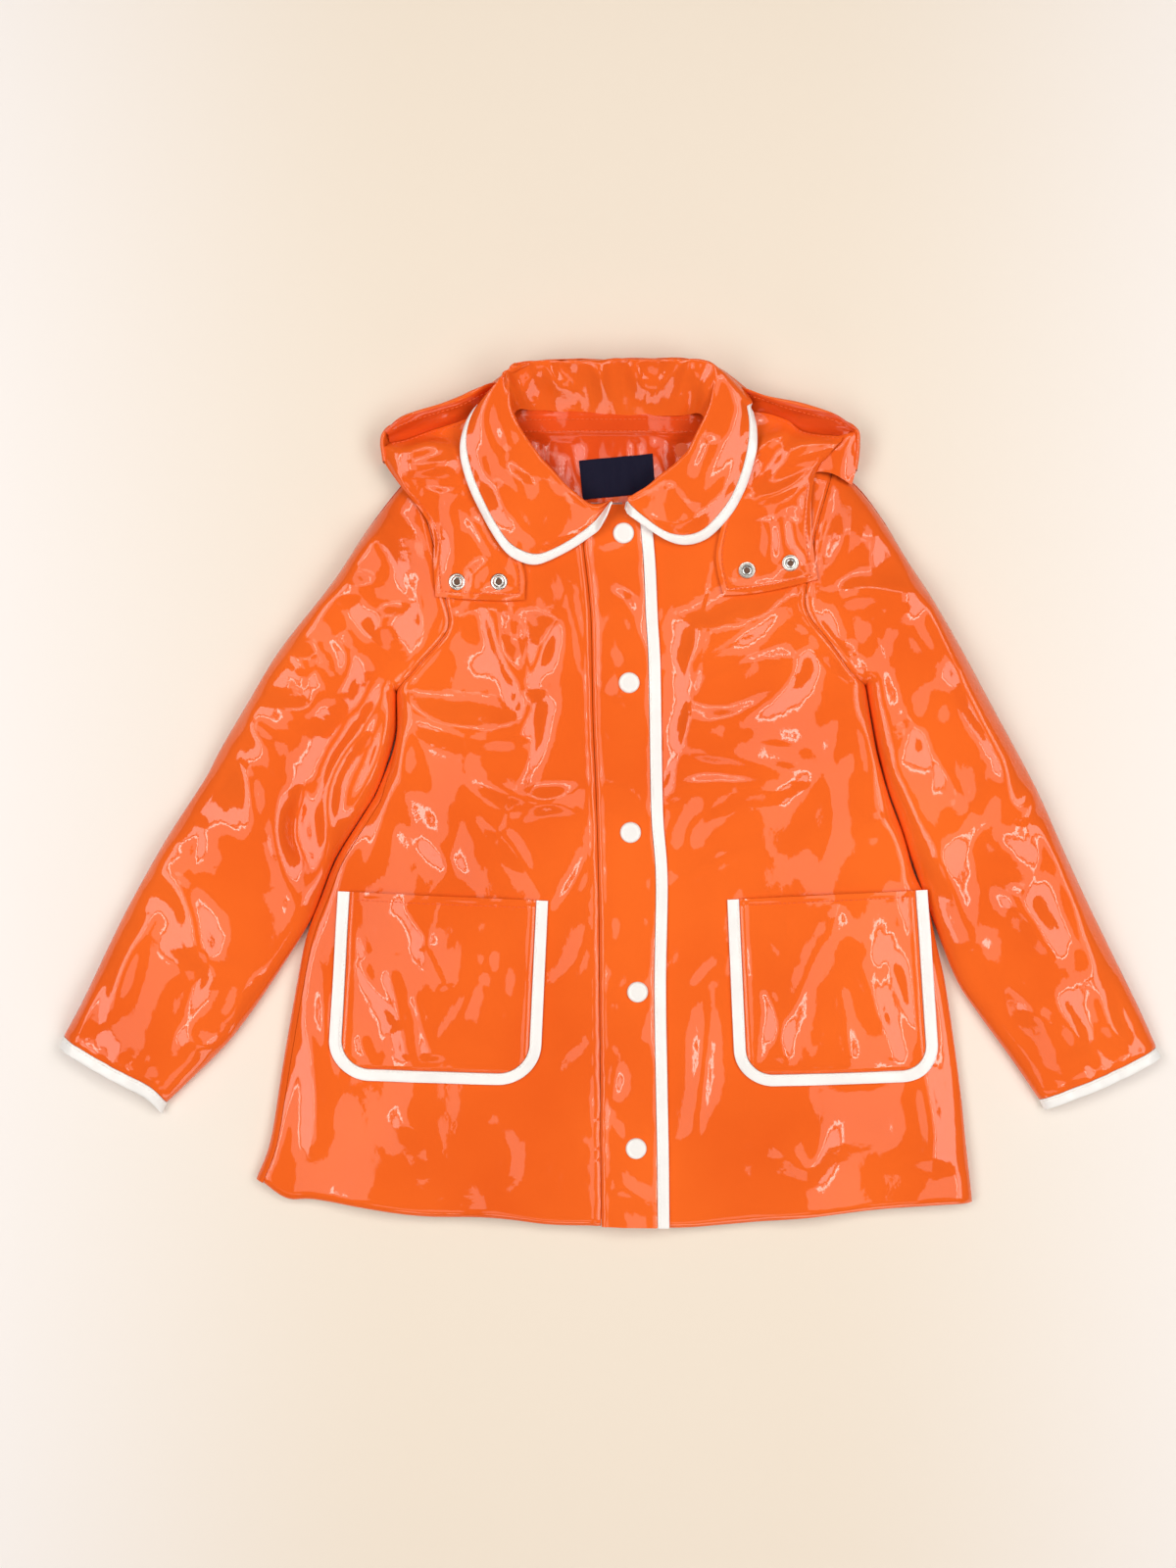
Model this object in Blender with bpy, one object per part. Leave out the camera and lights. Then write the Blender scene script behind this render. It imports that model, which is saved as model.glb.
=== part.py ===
"""Child's glossy vinyl raincoat with white binding, laid flat with its front up.

Every table and size here is in millimetres, and MM turns them into metres as the meshes are made.
The coat lies on z = 0 with its collar towards +Y. Left and right in the names are the wearer's,
so the pieces called right lie at -X. Each cloth piece is a wall: a grid of points on its
shown side, and the same grid moved in by its thickness.
"""
import bpy
import numpy as np

MM = 0.001

# Cloth and trim
VINYL = 1.2             # thickness of the coated cloth
GAP = 0.3               # clearance between pieces at seams and between layers
LAYER = VINYL + GAP     # how far each layer lies above the one below
PLACKET_DEPTH = 1.6     # doubled cloth, pressed
COLLAR_DEPTH = 1.8      # two cloths, pressed
LABEL_DEPTH = 1.0
BINDING_WIDTH = 8.4
BINDING_DEPTH = 2.0
CUFF_BINDING_DEPTH = 1.8
SNAP_CAP_RADIUS = 7.5
HOOD_SNAP_RADIUS = 6.25

# How the coat lies
REST_HEIGHT = 12.0      # general height of the fronts over the surface
EDGE_HEIGHT = 4.0       # height at which an edge turns from the underside to the top
TOP_ROLL = 12.0         # width of the round turn on the top side of an edge
UNDER_ROLL = 4.0        # width of the round turn on the underside
SIDE_WRAP = 6.0         # how far the back comes round onto the top at the right side seam
SLEEVE_CLEAR = 0.7      # between a sleeve and the body beside it
SLEEVE_SKEW = 1.8       # keeps the rows of a sleeve square to it from the underarm on
SEAM_HALF = 0.45        # half of the clearance where two turned edges meet
ARMHOLE_CLEAR = 0.75    # how far a sleeve starts outside its armhole line
PLACKET_STEP = GAP + PLACKET_DEPTH

# Hidden hood layers under the back: a rounded slab, and the rise that it gives the back
CROWN_CENTRE = (5.0, 236.0)
CROWN_HALF = (92.0, 66.0)
CROWN_CORNER = 30.0
CROWN_HEIGHT = 3.6
CROWN_RISE = CROWN_HEIGHT + GAP
# Section of the slab's edge: columns inset, height of its underside, height of its top
CROWN_EDGE = [(0, 1.0, 1.6), (1.2, 0.3, 2.6), (4, 0, 3.3), (14, 0, CROWN_HEIGHT)]
CROWN_MARGIN = 20.0     # how far past the slab the back stays up
CROWN_SLOPE = 30.0      # distance over which the back then comes down
NECK_RISE = 6.0         # extra rise of the back at its neck seam
NECK_SLOPE = 26.0

# Outlines seen from above: columns x, y
SIDE_RIGHT = [(-153, 72), (-154, 37), (-166, 3), (-173, -10), (-192, -40), (-200, -56), (-206, -72),
              (-218, -104), (-226, -144), (-235, -196), (-244, -251), (-254, -278)]
SIDE_LEFT = [(184, 76), (189, 46), (193, 25), (202, -6), (211, -30), (219, -58), (228, -78),
             (236, -113), (241, -135), (247, -174), (253, -220), (256, -250), (261, -295)]
HEM = [(-254, -278), (-248, -286), (-231, -292), (-208, -293), (-138, -304), (-86, -305), (-44, -310),
       (-8, -311), (43, -313), (88, -310), (143, -305), (198, -299), (241, -296), (261, -295)]
ARMHOLE_RIGHT = [(-153, 72), (-134, 93), (-116, 116), (-117, 137), (-126, 178), (-141, 230)]
ARMHOLE_LEFT = [(184, 76), (171, 86), (159, 104), (141, 127), (140, 146), (147, 185), (160, 230)]
BACK_ARMHOLE_RIGHT = [(-153, 72), (-137, 90), (-127, 112), (-125, 145), (-131, 190), (-141, 230)]
BACK_ARMHOLE_LEFT = [(184, 76), (165, 92), (153, 112), (147, 145), (151, 190), (160, 230)]
SHOULDER_RIGHT = [(-141, 230), (-104, 253), (-70, 272)]
SHOULDER_LEFT = [(160, 230), (112, 253), (69, 270)]
NECK_RIGHT = [(-70, 272), (-68, 261), (-58, 243), (-43, 226), (-28, 212), (-19, 206)]
NECK_LEFT = [(69, 270), (67, 261), (59, 244), (46, 229), (31, 216), (17, 208), (0, 206), (-11, 206)]
NECK_BACK = [(-70, 272), (-43, 273), (-17, 271), (15, 269), (43, 269), (69, 270)]
PLACKET_SEAM = [(-6, -311), (-7, -172), (-8, -64), (-10, 6), (-12, 55), (-13, 116), (-15, 144),
                (-19, 180), (-19, 205)]
PLACKET_EDGE = [(34.5, -312.5), (34, -260), (33, -207), (32, -137), (33, -63), (30, -20), (29, 20),
                (28, 90), (26, 126), (24.5, 162), (22, 192), (21, 206)]

# Outer edges of the sleeves from armhole to cuff: columns x, y
OUTER_RIGHT = [(-141, 230), (-159, 208), (-178, 182), (-200, 149), (-237, 102), (-260, 64), (-280, 30),
               (-291, 9), (-318, -33), (-344, -79), (-360, -111), (-378, -149), (-392, -175)]
OUTER_LEFT = [(160, 230), (177, 220), (195, 197), (215, 165), (232, 139), (254, 101), (276, 60),
              (306, 4), (327, -43), (344, -80), (360, -113), (381, -156), (393, -183)]
# From the armhole the inner edge lies along the body's side, and here it leaves it
FREE_RIGHT = [(-233, -122), (-255, -155), (-275, -181), (-298, -204), (-318, -223)]
FREE_LEFT = [(249, -134), (265, -159), (289, -192), (309, -221)]
LEAVES_BODY = {"right": -92.0, "left": -108.0}
CUFF_RIGHT = [(-392, -175), (-360, -194), (-329, -211), (-318, -223)]
CUFF_LEFT = [(393, -183), (356, -202), (309, -221)]
CUFF_OUT_RIGHT = (-3.2, -7.8)
CUFF_OUT_LEFT = (3.4, -7.0)

# Broad swells of the whole coat and its largest folds. Ridges stand up, and hollows have a
# negative height: columns x from, y from, x to, y to, width, height
FOLDS = [
    (-165, 150, -335, -150, 46, 9.0),
    (192, 150, 335, -155, 46, 9.0),
    (-85, 90, -60, -20, 52, 2.6),
    (95, 90, 105, -20, 56, 2.8),
    (-120, -120, -110, -250, 60, 2.2),
    (150, -120, 140, -250, 60, 2.4),
    (-78, 262, -72, 240, 34, 5.0),
    (76, 262, 70, 240, 34, 5.0),
    (-104, 112, -52, 62, 11, 2.4),
    (-52, 62, -86, 36, 10, 1.8),
    (-122, 52, -72, 0, 13, 2.0),
    (-58, 118, -40, 72, 10, 1.6),
    (-170, -44, -60, -60, 12, -1.4),
    (122, 96, 60, 64, 12, 2.4),
    (172, 60, 78, 28, 13, 2.4),
    (160, 20, 72, -8, 12, 1.8),
    (186, -20, 110, -52, 14, 1.8),
    (140, 150, 128, 96, 13, 2.0),
    (-180, -230, -96, -236, 14, 1.6),
    (86, -250, 190, -244, 15, 1.8),
    (-214, 92, -172, 44, 11, 2.6),
    (-258, 40, -196, -20, 12, 2.8),
    (-290, -30, -222, -78, 13, 2.4),
    (-330, -92, -262, -132, 12, 2.2),
    (-186, 150, -150, 104, 12, 2.4),
    (250, 84, 206, 30, 12, 2.6),
    (286, 20, 232, -48, 13, 2.8),
    (318, -52, 262, -104, 13, 2.4),
    (350, -120, 300, -158, 12, 2.0),
    (214, 142, 178, 96, 12, 2.2),
]

# Patch pockets: columns corner top outer, top inner, bottom inner, bottom outer, corner radius
POCKETS = {
    "right": [(-194, -71), (-44, -78), (-50, -210), (-202, -206), 30],
    "left": [(227, -70), (84, -77), (90, -211), (237, -207), 27],
}
POCKET_SWELL = 2.2

# White snap caps down the placket and metal snaps on the hood tabs: columns x, y
SNAP_CAPS = [(10, 185), (14, 78), (15, -29), (20, -143), (19, -255)]
HOOD_SNAPS = {"right": [(-109, 150), (-79, 150)], "left": [(98, 158), (129, 163)]}

# Collar from the right leaf's front end, round the back, to the left leaf's front end.
# Columns: seam x, y, then roll x, y, z, then outer edge x, y, z. The seam's height is the cloth's
COLLAR = [
    (3, 207.5, 1, 203.5, 23, 4, 191.5, 21.5),
    (-13, 206, -13, 205, 23, -10, 184, 20),
    (-26, 212, -25, 215, 24, -27, 172, 20),
    (-35, 218, -33, 222, 25, -43, 164, 20),
    (-43, 226, -40, 230, 26, -54, 161, 20),
    (-50, 234, -47, 238, 27, -65, 164, 20),
    (-57, 242, -54, 247, 28, -75, 171, 20.5),
    (-62, 250, -60, 255, 29, -87, 188, 21),
    (-66, 259, -65, 264, 30, -97, 207, 22),
    (-68, 266, -69, 273, 32, -103, 222, 23),
    (-67, 271, -71, 283, 34, -107, 239, 24),
    (-63, 273, -72, 292, 36, -106, 253, 25),
    (-57, 273, -70, 300, 37, -101, 266, 25),
    (-48, 273, -60, 304.5, 38, -93, 278, 20),
    (-36, 272, -42, 305, 38, -78, 296, 13),
    (-18, 271, -22, 305, 38, -44, 304, 8),
    (2, 270, 0, 305.5, 38, -12, 305, 7),
    (18, 269, 20, 306, 38, 20, 305, 7),
    (35, 269, 42, 306, 38, 50, 305, 8),
    (48, 269, 62, 306, 38, 78, 300, 13),
    (57, 270, 73, 302, 37, 94, 288, 20),
    (63, 270, 75, 295, 36, 101, 278, 25),
    (67, 267, 73, 286, 34, 105, 265, 25),
    (68, 261, 70, 276, 32, 106, 252, 24),
    (65, 253, 65, 265, 30, 104, 236, 23),
    (61, 246, 60, 255, 29, 99, 219, 22),
    (56, 239, 55, 244, 28, 91, 202, 21),
    (49, 232, 48, 237, 27, 79, 187, 20),
    (42, 226, 41, 231, 26, 68, 178, 19),
    (35, 220, 34, 226, 25, 55, 175, 19),
    (28, 214, 27, 220, 24, 42, 178, 19),
    (22, 212, 20, 215, 23, 26, 188, 20),
    (17, 212, 13.5, 210, 23, 11, 198.5, 21.5),
]
COLLAR_ROLL = 5.0
COLLAR_SEAM_LIFT = 0.5

# Hood walls through rows of points, each row from the neck side outwards: columns x, y, z.
# In the tab rows z is the height above the cloth below
HOOD_SIDE_RIGHT = [
    [(-99, 268, 12), (-114, 263, 11), (-130, 258, 11), (-145, 252, 13), (-157, 249, 15)],
    [(-97, 256, 14.5), (-112, 254, 15), (-129, 253, 17), (-144, 249, 18), (-159, 247, 17.5)],
    [(-95, 244, 17), (-110, 245, 19), (-127, 247, 23), (-145, 243, 23), (-161, 245, 18)],
    [(-91, 232, 18), (-107, 233, 19), (-125, 235, 22), (-143, 234, 22), (-161, 236, 16)],
]
HOOD_TAB_RIGHT = [
    [(-85, 218, 2.6), (-103, 218, 3), (-120, 218, 4.5), (-135, 217, 6), (-149, 218, 5)],
    [(-78, 200, 1.9), (-95, 200, 2.1), (-110, 200, 2.3), (-123, 200, 2.8), (-135, 201, 2.4)],
    [(-70, 180, 1.5), (-84, 180, 1.5), (-98, 181, 1.5), (-112, 182, 1.5), (-126, 184, 1.5)],
    [(-61, 158, 1.5), (-77, 159, 1.5), (-93, 160, 1.5), (-110, 161, 1.5), (-125.5, 162, 1.5)],
    [(-60.5, 137, 1.5), (-76, 136.5, 1.5), (-92, 137, 1.5), (-108, 138, 1.5), (-124, 139, 1.5)],
]
HOOD_SIDE_LEFT = [
    [(101, 272, 12), (112, 271, 12), (127, 266, 12), (140, 257, 15), (166, 253, 20)],
    [(101, 262, 14), (112, 261, 14), (127, 259, 15), (140, 254, 19), (165, 250, 21)],
    [(99, 248, 15), (111, 251, 17), (124, 252, 19), (139, 248, 23), (161, 246, 22)],
    [(96, 236, 16), (107, 238, 19), (121, 243, 23), (137, 240, 23), (156, 240, 20)],
]
HOOD_TAB_LEFT = [
    [(92, 222, 3), (104, 224, 5), (117, 229, 7), (132, 230, 6), (148, 230, 4)],
    [(85, 204, 1.5), (99, 205, 2), (114, 208, 2.5), (129, 210, 2.5), (144, 211, 2.4)],
    [(79, 186, 1.5), (95, 187, 1.5), (111, 188, 1.5), (127, 190, 1.5), (144, 191, 1.5)],
    [(76, 165, 1.5), (93, 166, 1.5), (110, 168, 1.5), (128, 170, 1.5), (145.5, 171, 1.5)],
    [(81, 140, 1.5), (98, 141, 1.5), (115, 143.5, 1.5), (131, 147, 1.5), (148, 151, 1.5)],
]
HOOD_HEM_LEFT = [
    [(165.4, 252.6, 18.3), (171, 254, 19.4), (176, 255, 18.6)],
    [(161.2, 244.2, 19.4), (169, 243, 20), (176.5, 242, 17)],
    [(155.4, 238.2, 17.6), (166, 235, 19.2), (176, 231, 16.5)],
    [(149.2, 228.6, 15.9), (160, 226.5, 17.6), (173, 219, 16)],
]
HOOD_BAND_RIGHT = [
    [(-88, 289, 1), (-106, 281, 0.6), (-128, 273.5, 0.3), (-146, 267.5, 0.3), (-159, 258, 0.3)],
    [(-88, 289.5, 14), (-106, 281.5, 14), (-128, 274, 13), (-147, 268, 12), (-160.5, 258, 10)],
    [(-88, 289, 26), (-106, 280.5, 27), (-128, 273, 26), (-146.5, 267, 24), (-160.5, 257, 21)],
    [(-91, 285, 26), (-107, 276, 26), (-128, 269, 25), (-145, 263.5, 23), (-158, 254.5, 20.5)],
    [(-96, 276, 18), (-110, 270, 18), (-128, 264, 17), (-144, 258.5, 17), (-157.5, 252.5, 18)],
    [(-98, 266.4, 8.4), (-112, 261.4, 7.2), (-128.5, 256.4, 7.2), (-144, 250.6, 9.2), (-157, 247.4, 12.0)],
]
HOOD_BAND_LEFT = [
    [(99, 286, 1), (116, 280, 0.6), (140, 274.5, 0.3), (160, 268, 0.3), (174, 259, 0.3)],
    [(99, 286.5, 14), (117, 280.5, 14), (141, 275, 13), (161, 269, 12), (175.5, 259, 11)],
    [(98, 286, 26), (116, 280, 27), (140, 274.5, 26), (160.5, 268, 25), (175.5, 258, 22)],
    [(101, 283, 26), (117, 276, 26), (140, 270.5, 25), (158, 264.5, 24), (172.5, 257, 21.5)],
    [(103, 279, 18), (116, 275, 18), (135, 267, 18), (152, 261, 19.5), (170.5, 256.3, 21)],
    [(102, 270.4, 8.4), (112, 269.2, 8.2), (127, 264.2, 8.2), (140, 255.2, 11.2), (166.5, 251.8, 15.2)],
]
HOOD_CENTRE = [(-52, 306.7), (-36, 307.1), (-10, 307.6), (27, 308.1), (56, 307.9), (68, 306.9)]
HOOD_CENTRE_TOP = 29.0
HOOD_CENTRE_DEPTH = 1.6

# Labels on the inside of the back: corners from top left, round to bottom left
NECK_LABEL = [(-22, 238), (31, 243), (33, 215), (-19, 210)]
SIZE_LABEL = [(-14, 208), (9, 208), (9, 196), (-14, 196)]


# ---------------------------------------------------------------- curves and surfaces

def smooth(points, samples=160):
    """Dense Catmull-Rom curve through points, any number of columns."""
    points = np.asarray(points, float)
    if len(points) == 2:
        t = np.linspace(0, 1, samples)[:, None]
        return points[0] * (1 - t) + points[1] * t
    padded = np.vstack([2 * points[0] - points[1], points, 2 * points[-1] - points[-2]])
    spans = len(points) - 1
    t = np.linspace(0, spans, samples)
    k = np.minimum(t.astype(int), spans - 1)
    f = (t - k)[:, None]
    a, b, c, d = padded[k], padded[k + 1], padded[k + 2], padded[k + 3]
    return 0.5 * (2 * b + (c - a) * f + (2 * a - 5 * b + 4 * c - d) * f ** 2
                  + (3 * b - 3 * c + d - a) * f ** 3)


def at(path, share):
    """Points of a dense path at shares of its length, from 0 to 1."""
    steps = np.linalg.norm(np.diff(path, axis=0), axis=1)
    length = np.concatenate([[0], np.cumsum(steps)])
    where = np.asarray(share, float) * length[-1]
    return np.stack([np.interp(where, length, path[:, k]) for k in range(path.shape[1])], -1)


def chain(paths, shares, t):
    """Points on paths set end to end, each of which takes its share of t."""
    t = np.asarray(t, float)
    ends = np.cumsum(shares)
    result = at(paths[0], np.clip(t / shares[0], 0, 1))
    for path, share, end in zip(paths[1:], shares[1:], ends[1:]):
        start = end - share
        here = at(path, np.clip((t - start) / share, 0, 1))
        result = np.where((t > start)[..., None], here, result)
    return result


def coons(bottom, top, left, right, u, v):
    """Four-sided patch: functions of u along bottom and top, and of v up left and right."""
    u3, v3 = u[..., None], v[..., None]
    zero, one = np.zeros_like(u), np.ones_like(u)
    ruled = (1 - v3) * bottom(u) + v3 * top(u) + (1 - u3) * left(v) + u3 * right(v)
    corners = ((1 - u3) * (1 - v3) * bottom(zero) + u3 * (1 - v3) * bottom(one)
               + (1 - u3) * v3 * top(zero) + u3 * v3 * top(one))
    return ruled - corners


def loft(rows, row_count, column_count):
    """Smooth grid through rows of points."""
    across = [at(smooth(row), np.linspace(0, 1, column_count)) for row in rows]
    across = np.array(across)
    columns = [at(smooth(across[:, k]), np.linspace(0, 1, row_count)) for k in range(column_count)]
    return np.array(columns).transpose(1, 0, 2)


def moved_in(path, amounts):
    """A side line moved towards the middle of the coat, by an amount at each point."""
    step = np.gradient(path, axis=0)
    step /= np.linalg.norm(step, axis=1)[:, None]
    normal = np.stack([-step[:, 1], step[:, 0]], 1)
    towards = -np.sign(path[:, :1].mean())
    normal *= np.sign(normal[:, :1].mean()) * towards
    return path + normal * np.asarray(amounts)[:, None]


def between(table, start, end):
    """Dense path from start to end, through the rows of the table that lie between them in x."""
    inside = [p for p in table if min(start[0], end[0]) + 3 < p[0] < max(start[0], end[0]) - 3]
    if start[0] > end[0]:
        inside = inside[::-1]
    return smooth([tuple(start)] + inside + [tuple(end)])


def distance(x, y, path):
    """Least distance in plan from each point to a dense path."""
    flat = np.stack([np.ravel(x), np.ravel(y)], 1)
    best = np.full(len(flat), 1e9)
    for a, b in zip(path[:-1:3], path[3::3]):
        edge = b - a
        t = np.clip(((flat - a) @ edge) / (edge @ edge), 0, 1)
        best = np.minimum(best, np.linalg.norm(flat - a - t[:, None] * edge, axis=1))
    return best.reshape(np.shape(x))


def ease(t):
    t = np.clip(t, 0, 1)
    return t * t * (3 - 2 * t)


def quarter(t):
    """Rises from 0 to 1 like a quarter of a circle."""
    t = np.clip(t, 0, 1)
    return np.sqrt(1 - (1 - t) ** 2)


# ---------------------------------------------------------------- how high the cloth lies

def cloth_height(x, y):
    """Height of the upper cloth, before its edges turn down."""
    x, y = np.asarray(x, float), np.asarray(y, float)
    height = np.full(np.broadcast(x, y).shape, REST_HEIGHT)
    for x0, y0, x1, y1, width, rise in FOLDS:
        run = np.hypot(x1 - x0, y1 - y0)
        forward = ((x - x0) * (x1 - x0) + (y - y0) * (y1 - y0)) / run
        aside = ((x - x0) * (y1 - y0) - (y - y0) * (x1 - x0)) / run
        past = np.maximum(np.maximum(-forward, forward - run), 0)
        height = height + rise * np.exp(-(aside / width) ** 2 - (past / (1.1 * width)) ** 2)
    return height


def under_height(x, y):
    """Height of the back's underside: flat, but for its rise over the hood's hidden layers."""
    x, y = np.asarray(x, float), np.asarray(y, float)
    dx = np.maximum(np.abs(x - CROWN_CENTRE[0]) - CROWN_HALF[0] - CROWN_MARGIN, 0)
    dy = np.maximum(np.abs(y - CROWN_CENTRE[1]) - CROWN_HALF[1] - CROWN_MARGIN, 0)
    rise = CROWN_RISE * (1 - ease(np.hypot(dx, dy) / CROWN_SLOPE))
    neck_start = NECK_BACK[2][1] - NECK_SLOPE
    neck = NECK_RISE * ease((y - neck_start) / NECK_SLOPE) * ease((95 - np.abs(x)) / 40)
    return rise + neck


def upper_side(x, y, edges, shoulder=None):
    """Height of the top cloth, turned down at its edges and laid on the back at the shoulder."""
    floor = under_height(x, y)
    cloth = cloth_height(x, y)
    near = np.min([distance(x, y, edge) for edge in edges], axis=0)
    low = floor + EDGE_HEIGHT + SEAM_HALF
    height = low + (cloth - low) * quarter(near / TOP_ROLL)
    if shoulder is not None:
        low = floor + VINYL + LAYER + GAP / 2
        beside = low + (cloth - low) * quarter(distance(x, y, shoulder) / TOP_ROLL)
        height = np.minimum(height, beside)
    return height


def lower_side(x, y, edges):
    """Height of the underside, turned up at the given edges."""
    near = np.min([distance(x, y, edge) for edge in edges], axis=0)
    return under_height(x, y) + (EDGE_HEIGHT - SEAM_HALF) * (1 - quarter(near / UNDER_ROLL))


def placket_lift(x, y):
    """Rise of the right front towards the placket's seam, which lies on the left front."""
    seam_x = np.interp(y, PATH["placket_seam"][:, 1], PATH["placket_seam"][:, 0])
    edge_x = np.interp(y, PATH["placket_edge"][:, 1], PATH["placket_edge"][:, 0])
    before = ease((x - seam_x + 60) / 60)
    return PLACKET_STEP * np.where(x < edge_x + BINDING_WIDTH + 4, before, 0)


# ---------------------------------------------------------------- meshes

MATERIALS = {}


def material(name, colour, roughness, metallic=0.0):
    made = bpy.data.materials.new(name)
    made.use_nodes = True
    shader = made.node_tree.nodes["Principled BSDF"]
    shader.inputs["Base Color"].default_value = (*colour, 1.0)
    shader.inputs["Roughness"].default_value = roughness
    shader.inputs["Metallic"].default_value = metallic
    made.diffuse_color = (*colour, 1.0)
    MATERIALS[name] = made


def add_mesh(name, points, faces, material_name):
    """One closed body, with its faces turned outwards."""
    points = np.asarray(points, float)
    volume = 0.0
    for face in faces:
        a = points[face[0]]
        for k in range(1, len(face) - 1):
            volume += np.dot(a, np.cross(points[face[k]], points[face[k + 1]]))
    if volume < 0:
        faces = [face[::-1] for face in faces]
    mesh = bpy.data.meshes.new(name)
    mesh.from_pydata((points * MM).tolist(), [], [tuple(int(i) for i in face) for face in faces])
    mesh.shade_smooth()
    mesh.set_sharp_from_angle(angle=np.radians(40))
    mesh.materials.append(MATERIALS[material_name])
    made = bpy.data.objects.new(name, mesh)
    bpy.context.scene.collection.objects.link(made)
    made.parent = ROOT
    return made


def grid_normals(grid, wrap):
    """Unit normals of a grid, by differences along its rows and columns."""
    if wrap:
        padded = np.concatenate([grid[:, -1:], grid, grid[:, :1]], 1)
        along_row = (padded[:, 2:] - padded[:, :-2]) / 2
    else:
        along_row = np.gradient(grid, axis=1)
    along_column = np.gradient(grid, axis=0)
    normal = np.cross(along_row, along_column)
    return normal / np.maximum(np.linalg.norm(normal, axis=2, keepdims=True), 1e-9)


def wall(name, grid, depth, material_name, shown=1, wrap=False):
    """Closed wall behind a grid of shown points.

    shown is 1 where the shown side faces up, -1 where it faces down. With wrap the grid's rows are
    rings, and the shown side faces away from their middles.
    """
    normal = grid_normals(grid, wrap)
    if wrap:
        away = grid - grid.mean(axis=1, keepdims=True)
        normal *= np.sign((normal * away).sum())
    else:
        normal *= np.sign(normal[..., 2].sum()) * shown
    inner = grid - normal * depth
    inner[..., 2] = np.maximum(inner[..., 2], 0.0)
    rows, columns = grid.shape[:2]
    front = np.arange(rows * columns).reshape(rows, columns)
    behind = front + rows * columns
    faces = []
    last = columns if wrap else columns - 1
    for i in range(rows - 1):
        for j in range(last):
            k = (j + 1) % columns
            faces.append((front[i, j], front[i, k], front[i + 1, k], front[i + 1, j]))
            faces.append((behind[i, j], behind[i + 1, j], behind[i + 1, k], behind[i, k]))
    for j in range(last):
        k = (j + 1) % columns
        faces.append((front[0, k], front[0, j], behind[0, j], behind[0, k]))
        faces.append((front[-1, j], front[-1, k], behind[-1, k], behind[-1, j]))
    if not wrap:
        for i in range(rows - 1):
            faces.append((front[i, 0], front[i + 1, 0], behind[i + 1, 0], behind[i, 0]))
            faces.append((front[i + 1, -1], front[i, -1], behind[i, -1], behind[i + 1, -1]))
    points = np.concatenate([grid.reshape(-1, 3), inner.reshape(-1, 3)])
    return add_mesh(name, points, faces, material_name)


# Section of a binding: columns share of its width from the cloth's edge, share of its depth
BINDING_SECTION = [(0.0, 0.04), (0.82, 0.0), (1.0, 0.3), (1.0, 0.7), (0.82, 1.0), (0.0, 0.96)]


def binding(name, cloth_edge, outer_edge, up, depth, material_name="white_binding"):
    """Strip from a cloth's edge to its own outer edge; both lines lie on its underside."""
    rings = []
    for share, rise in BINDING_SECTION:
        rings.append(cloth_edge * (1 - share) + outer_edge * share + up * (rise * depth))
    rings = np.array(rings).transpose(1, 0, 2)
    rows, around = rings.shape[:2]
    index = np.arange(rows * around).reshape(rows, around)
    faces = []
    for i in range(rows - 1):
        for j in range(around):
            k = (j + 1) % around
            faces.append((index[i, j], index[i, k], index[i + 1, k], index[i + 1, j]))
    for row, turn in ((0, 1), (rows - 1, -1)):
        ring = [index[row, j] for j in range(around)][::-turn]
        faces.append((ring[0], ring[1], ring[2], ring[3]))
        faces.append((ring[0], ring[3], ring[4], ring[5]))
    return add_mesh(name, rings.reshape(-1, 3), faces, material_name)


def seated(surface, x, y, radius):
    """Where a flat disc rests just clear of a surface: its centre and its upward direction."""
    step = radius * 0.8
    slope_x = (surface(x + step, y) - surface(x - step, y)) / (2 * step)
    slope_y = (surface(x, y + step) - surface(x, y - step)) / (2 * step)
    turns = np.linspace(0, 2 * np.pi, 24, endpoint=False)
    rise = float(surface(x, y))
    for share in (0.35, 0.7, 1.05):
        dx, dy = radius * share * np.cos(turns), radius * share * np.sin(turns)
        rise = max(rise, float(np.max(surface(x + dx, y + dy) - slope_x * dx - slope_y * dy)))
    up = np.array([-float(slope_x), -float(slope_y), 1.0])
    return np.array([x, y, rise + GAP]), up / np.linalg.norm(up)


def turned(name, centre, up, profile, sides, material_name):
    """Turned solid: profile rows are radius, height, from the top's middle to the base's."""
    side = np.cross(up, (0.0, 1.0, 0.0))
    side /= np.linalg.norm(side)
    other = np.cross(up, side)
    points = [centre + up * profile[0][1]]
    for radius, rise in profile[1:-1]:
        for k in range(sides):
            turn = 2 * np.pi * k / sides
            points.append(centre + up * rise + radius * (np.cos(turn) * side + np.sin(turn) * other))
    points.append(centre + up * profile[-1][1])
    faces = []
    rings = len(profile) - 2
    for k in range(sides):
        n = (k + 1) % sides
        faces.append((0, 1 + k, 1 + n))
        for r in range(rings - 1):
            a, b = 1 + r * sides, 1 + (r + 1) * sides
            faces.append((a + k, b + k, b + n, a + n))
        base = 1 + (rings - 1) * sides
        faces.append((base + n, base + k, len(points) - 1))
    return add_mesh(name, points, faces, material_name)


# ---------------------------------------------------------------- panels

def near_and_even(width, near, count):
    """Shares across each row: first the near distances from its edge, then even steps to 1."""
    width = np.asarray(width, float)[:, None]
    close = np.asarray(near, float)[None, :] / width
    rest = np.linspace(0, 1, count + 1)[None, 1:]
    return np.hstack([close, close[:, -1:] + (1 - close[:, -1:]) * rest])


def panel_rows(side_share, below, above):
    """Shares up a panel, with a row at the underarm."""
    return np.concatenate([np.linspace(0, side_share, below + 1),
                           np.linspace(side_share, 1, above + 1)[1:]])


SIDE_SHARE = 0.66
SHOULDER_SHARE = 0.42
SIDE_ROWS = 16
ARMHOLE_ROWS = 8


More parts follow.
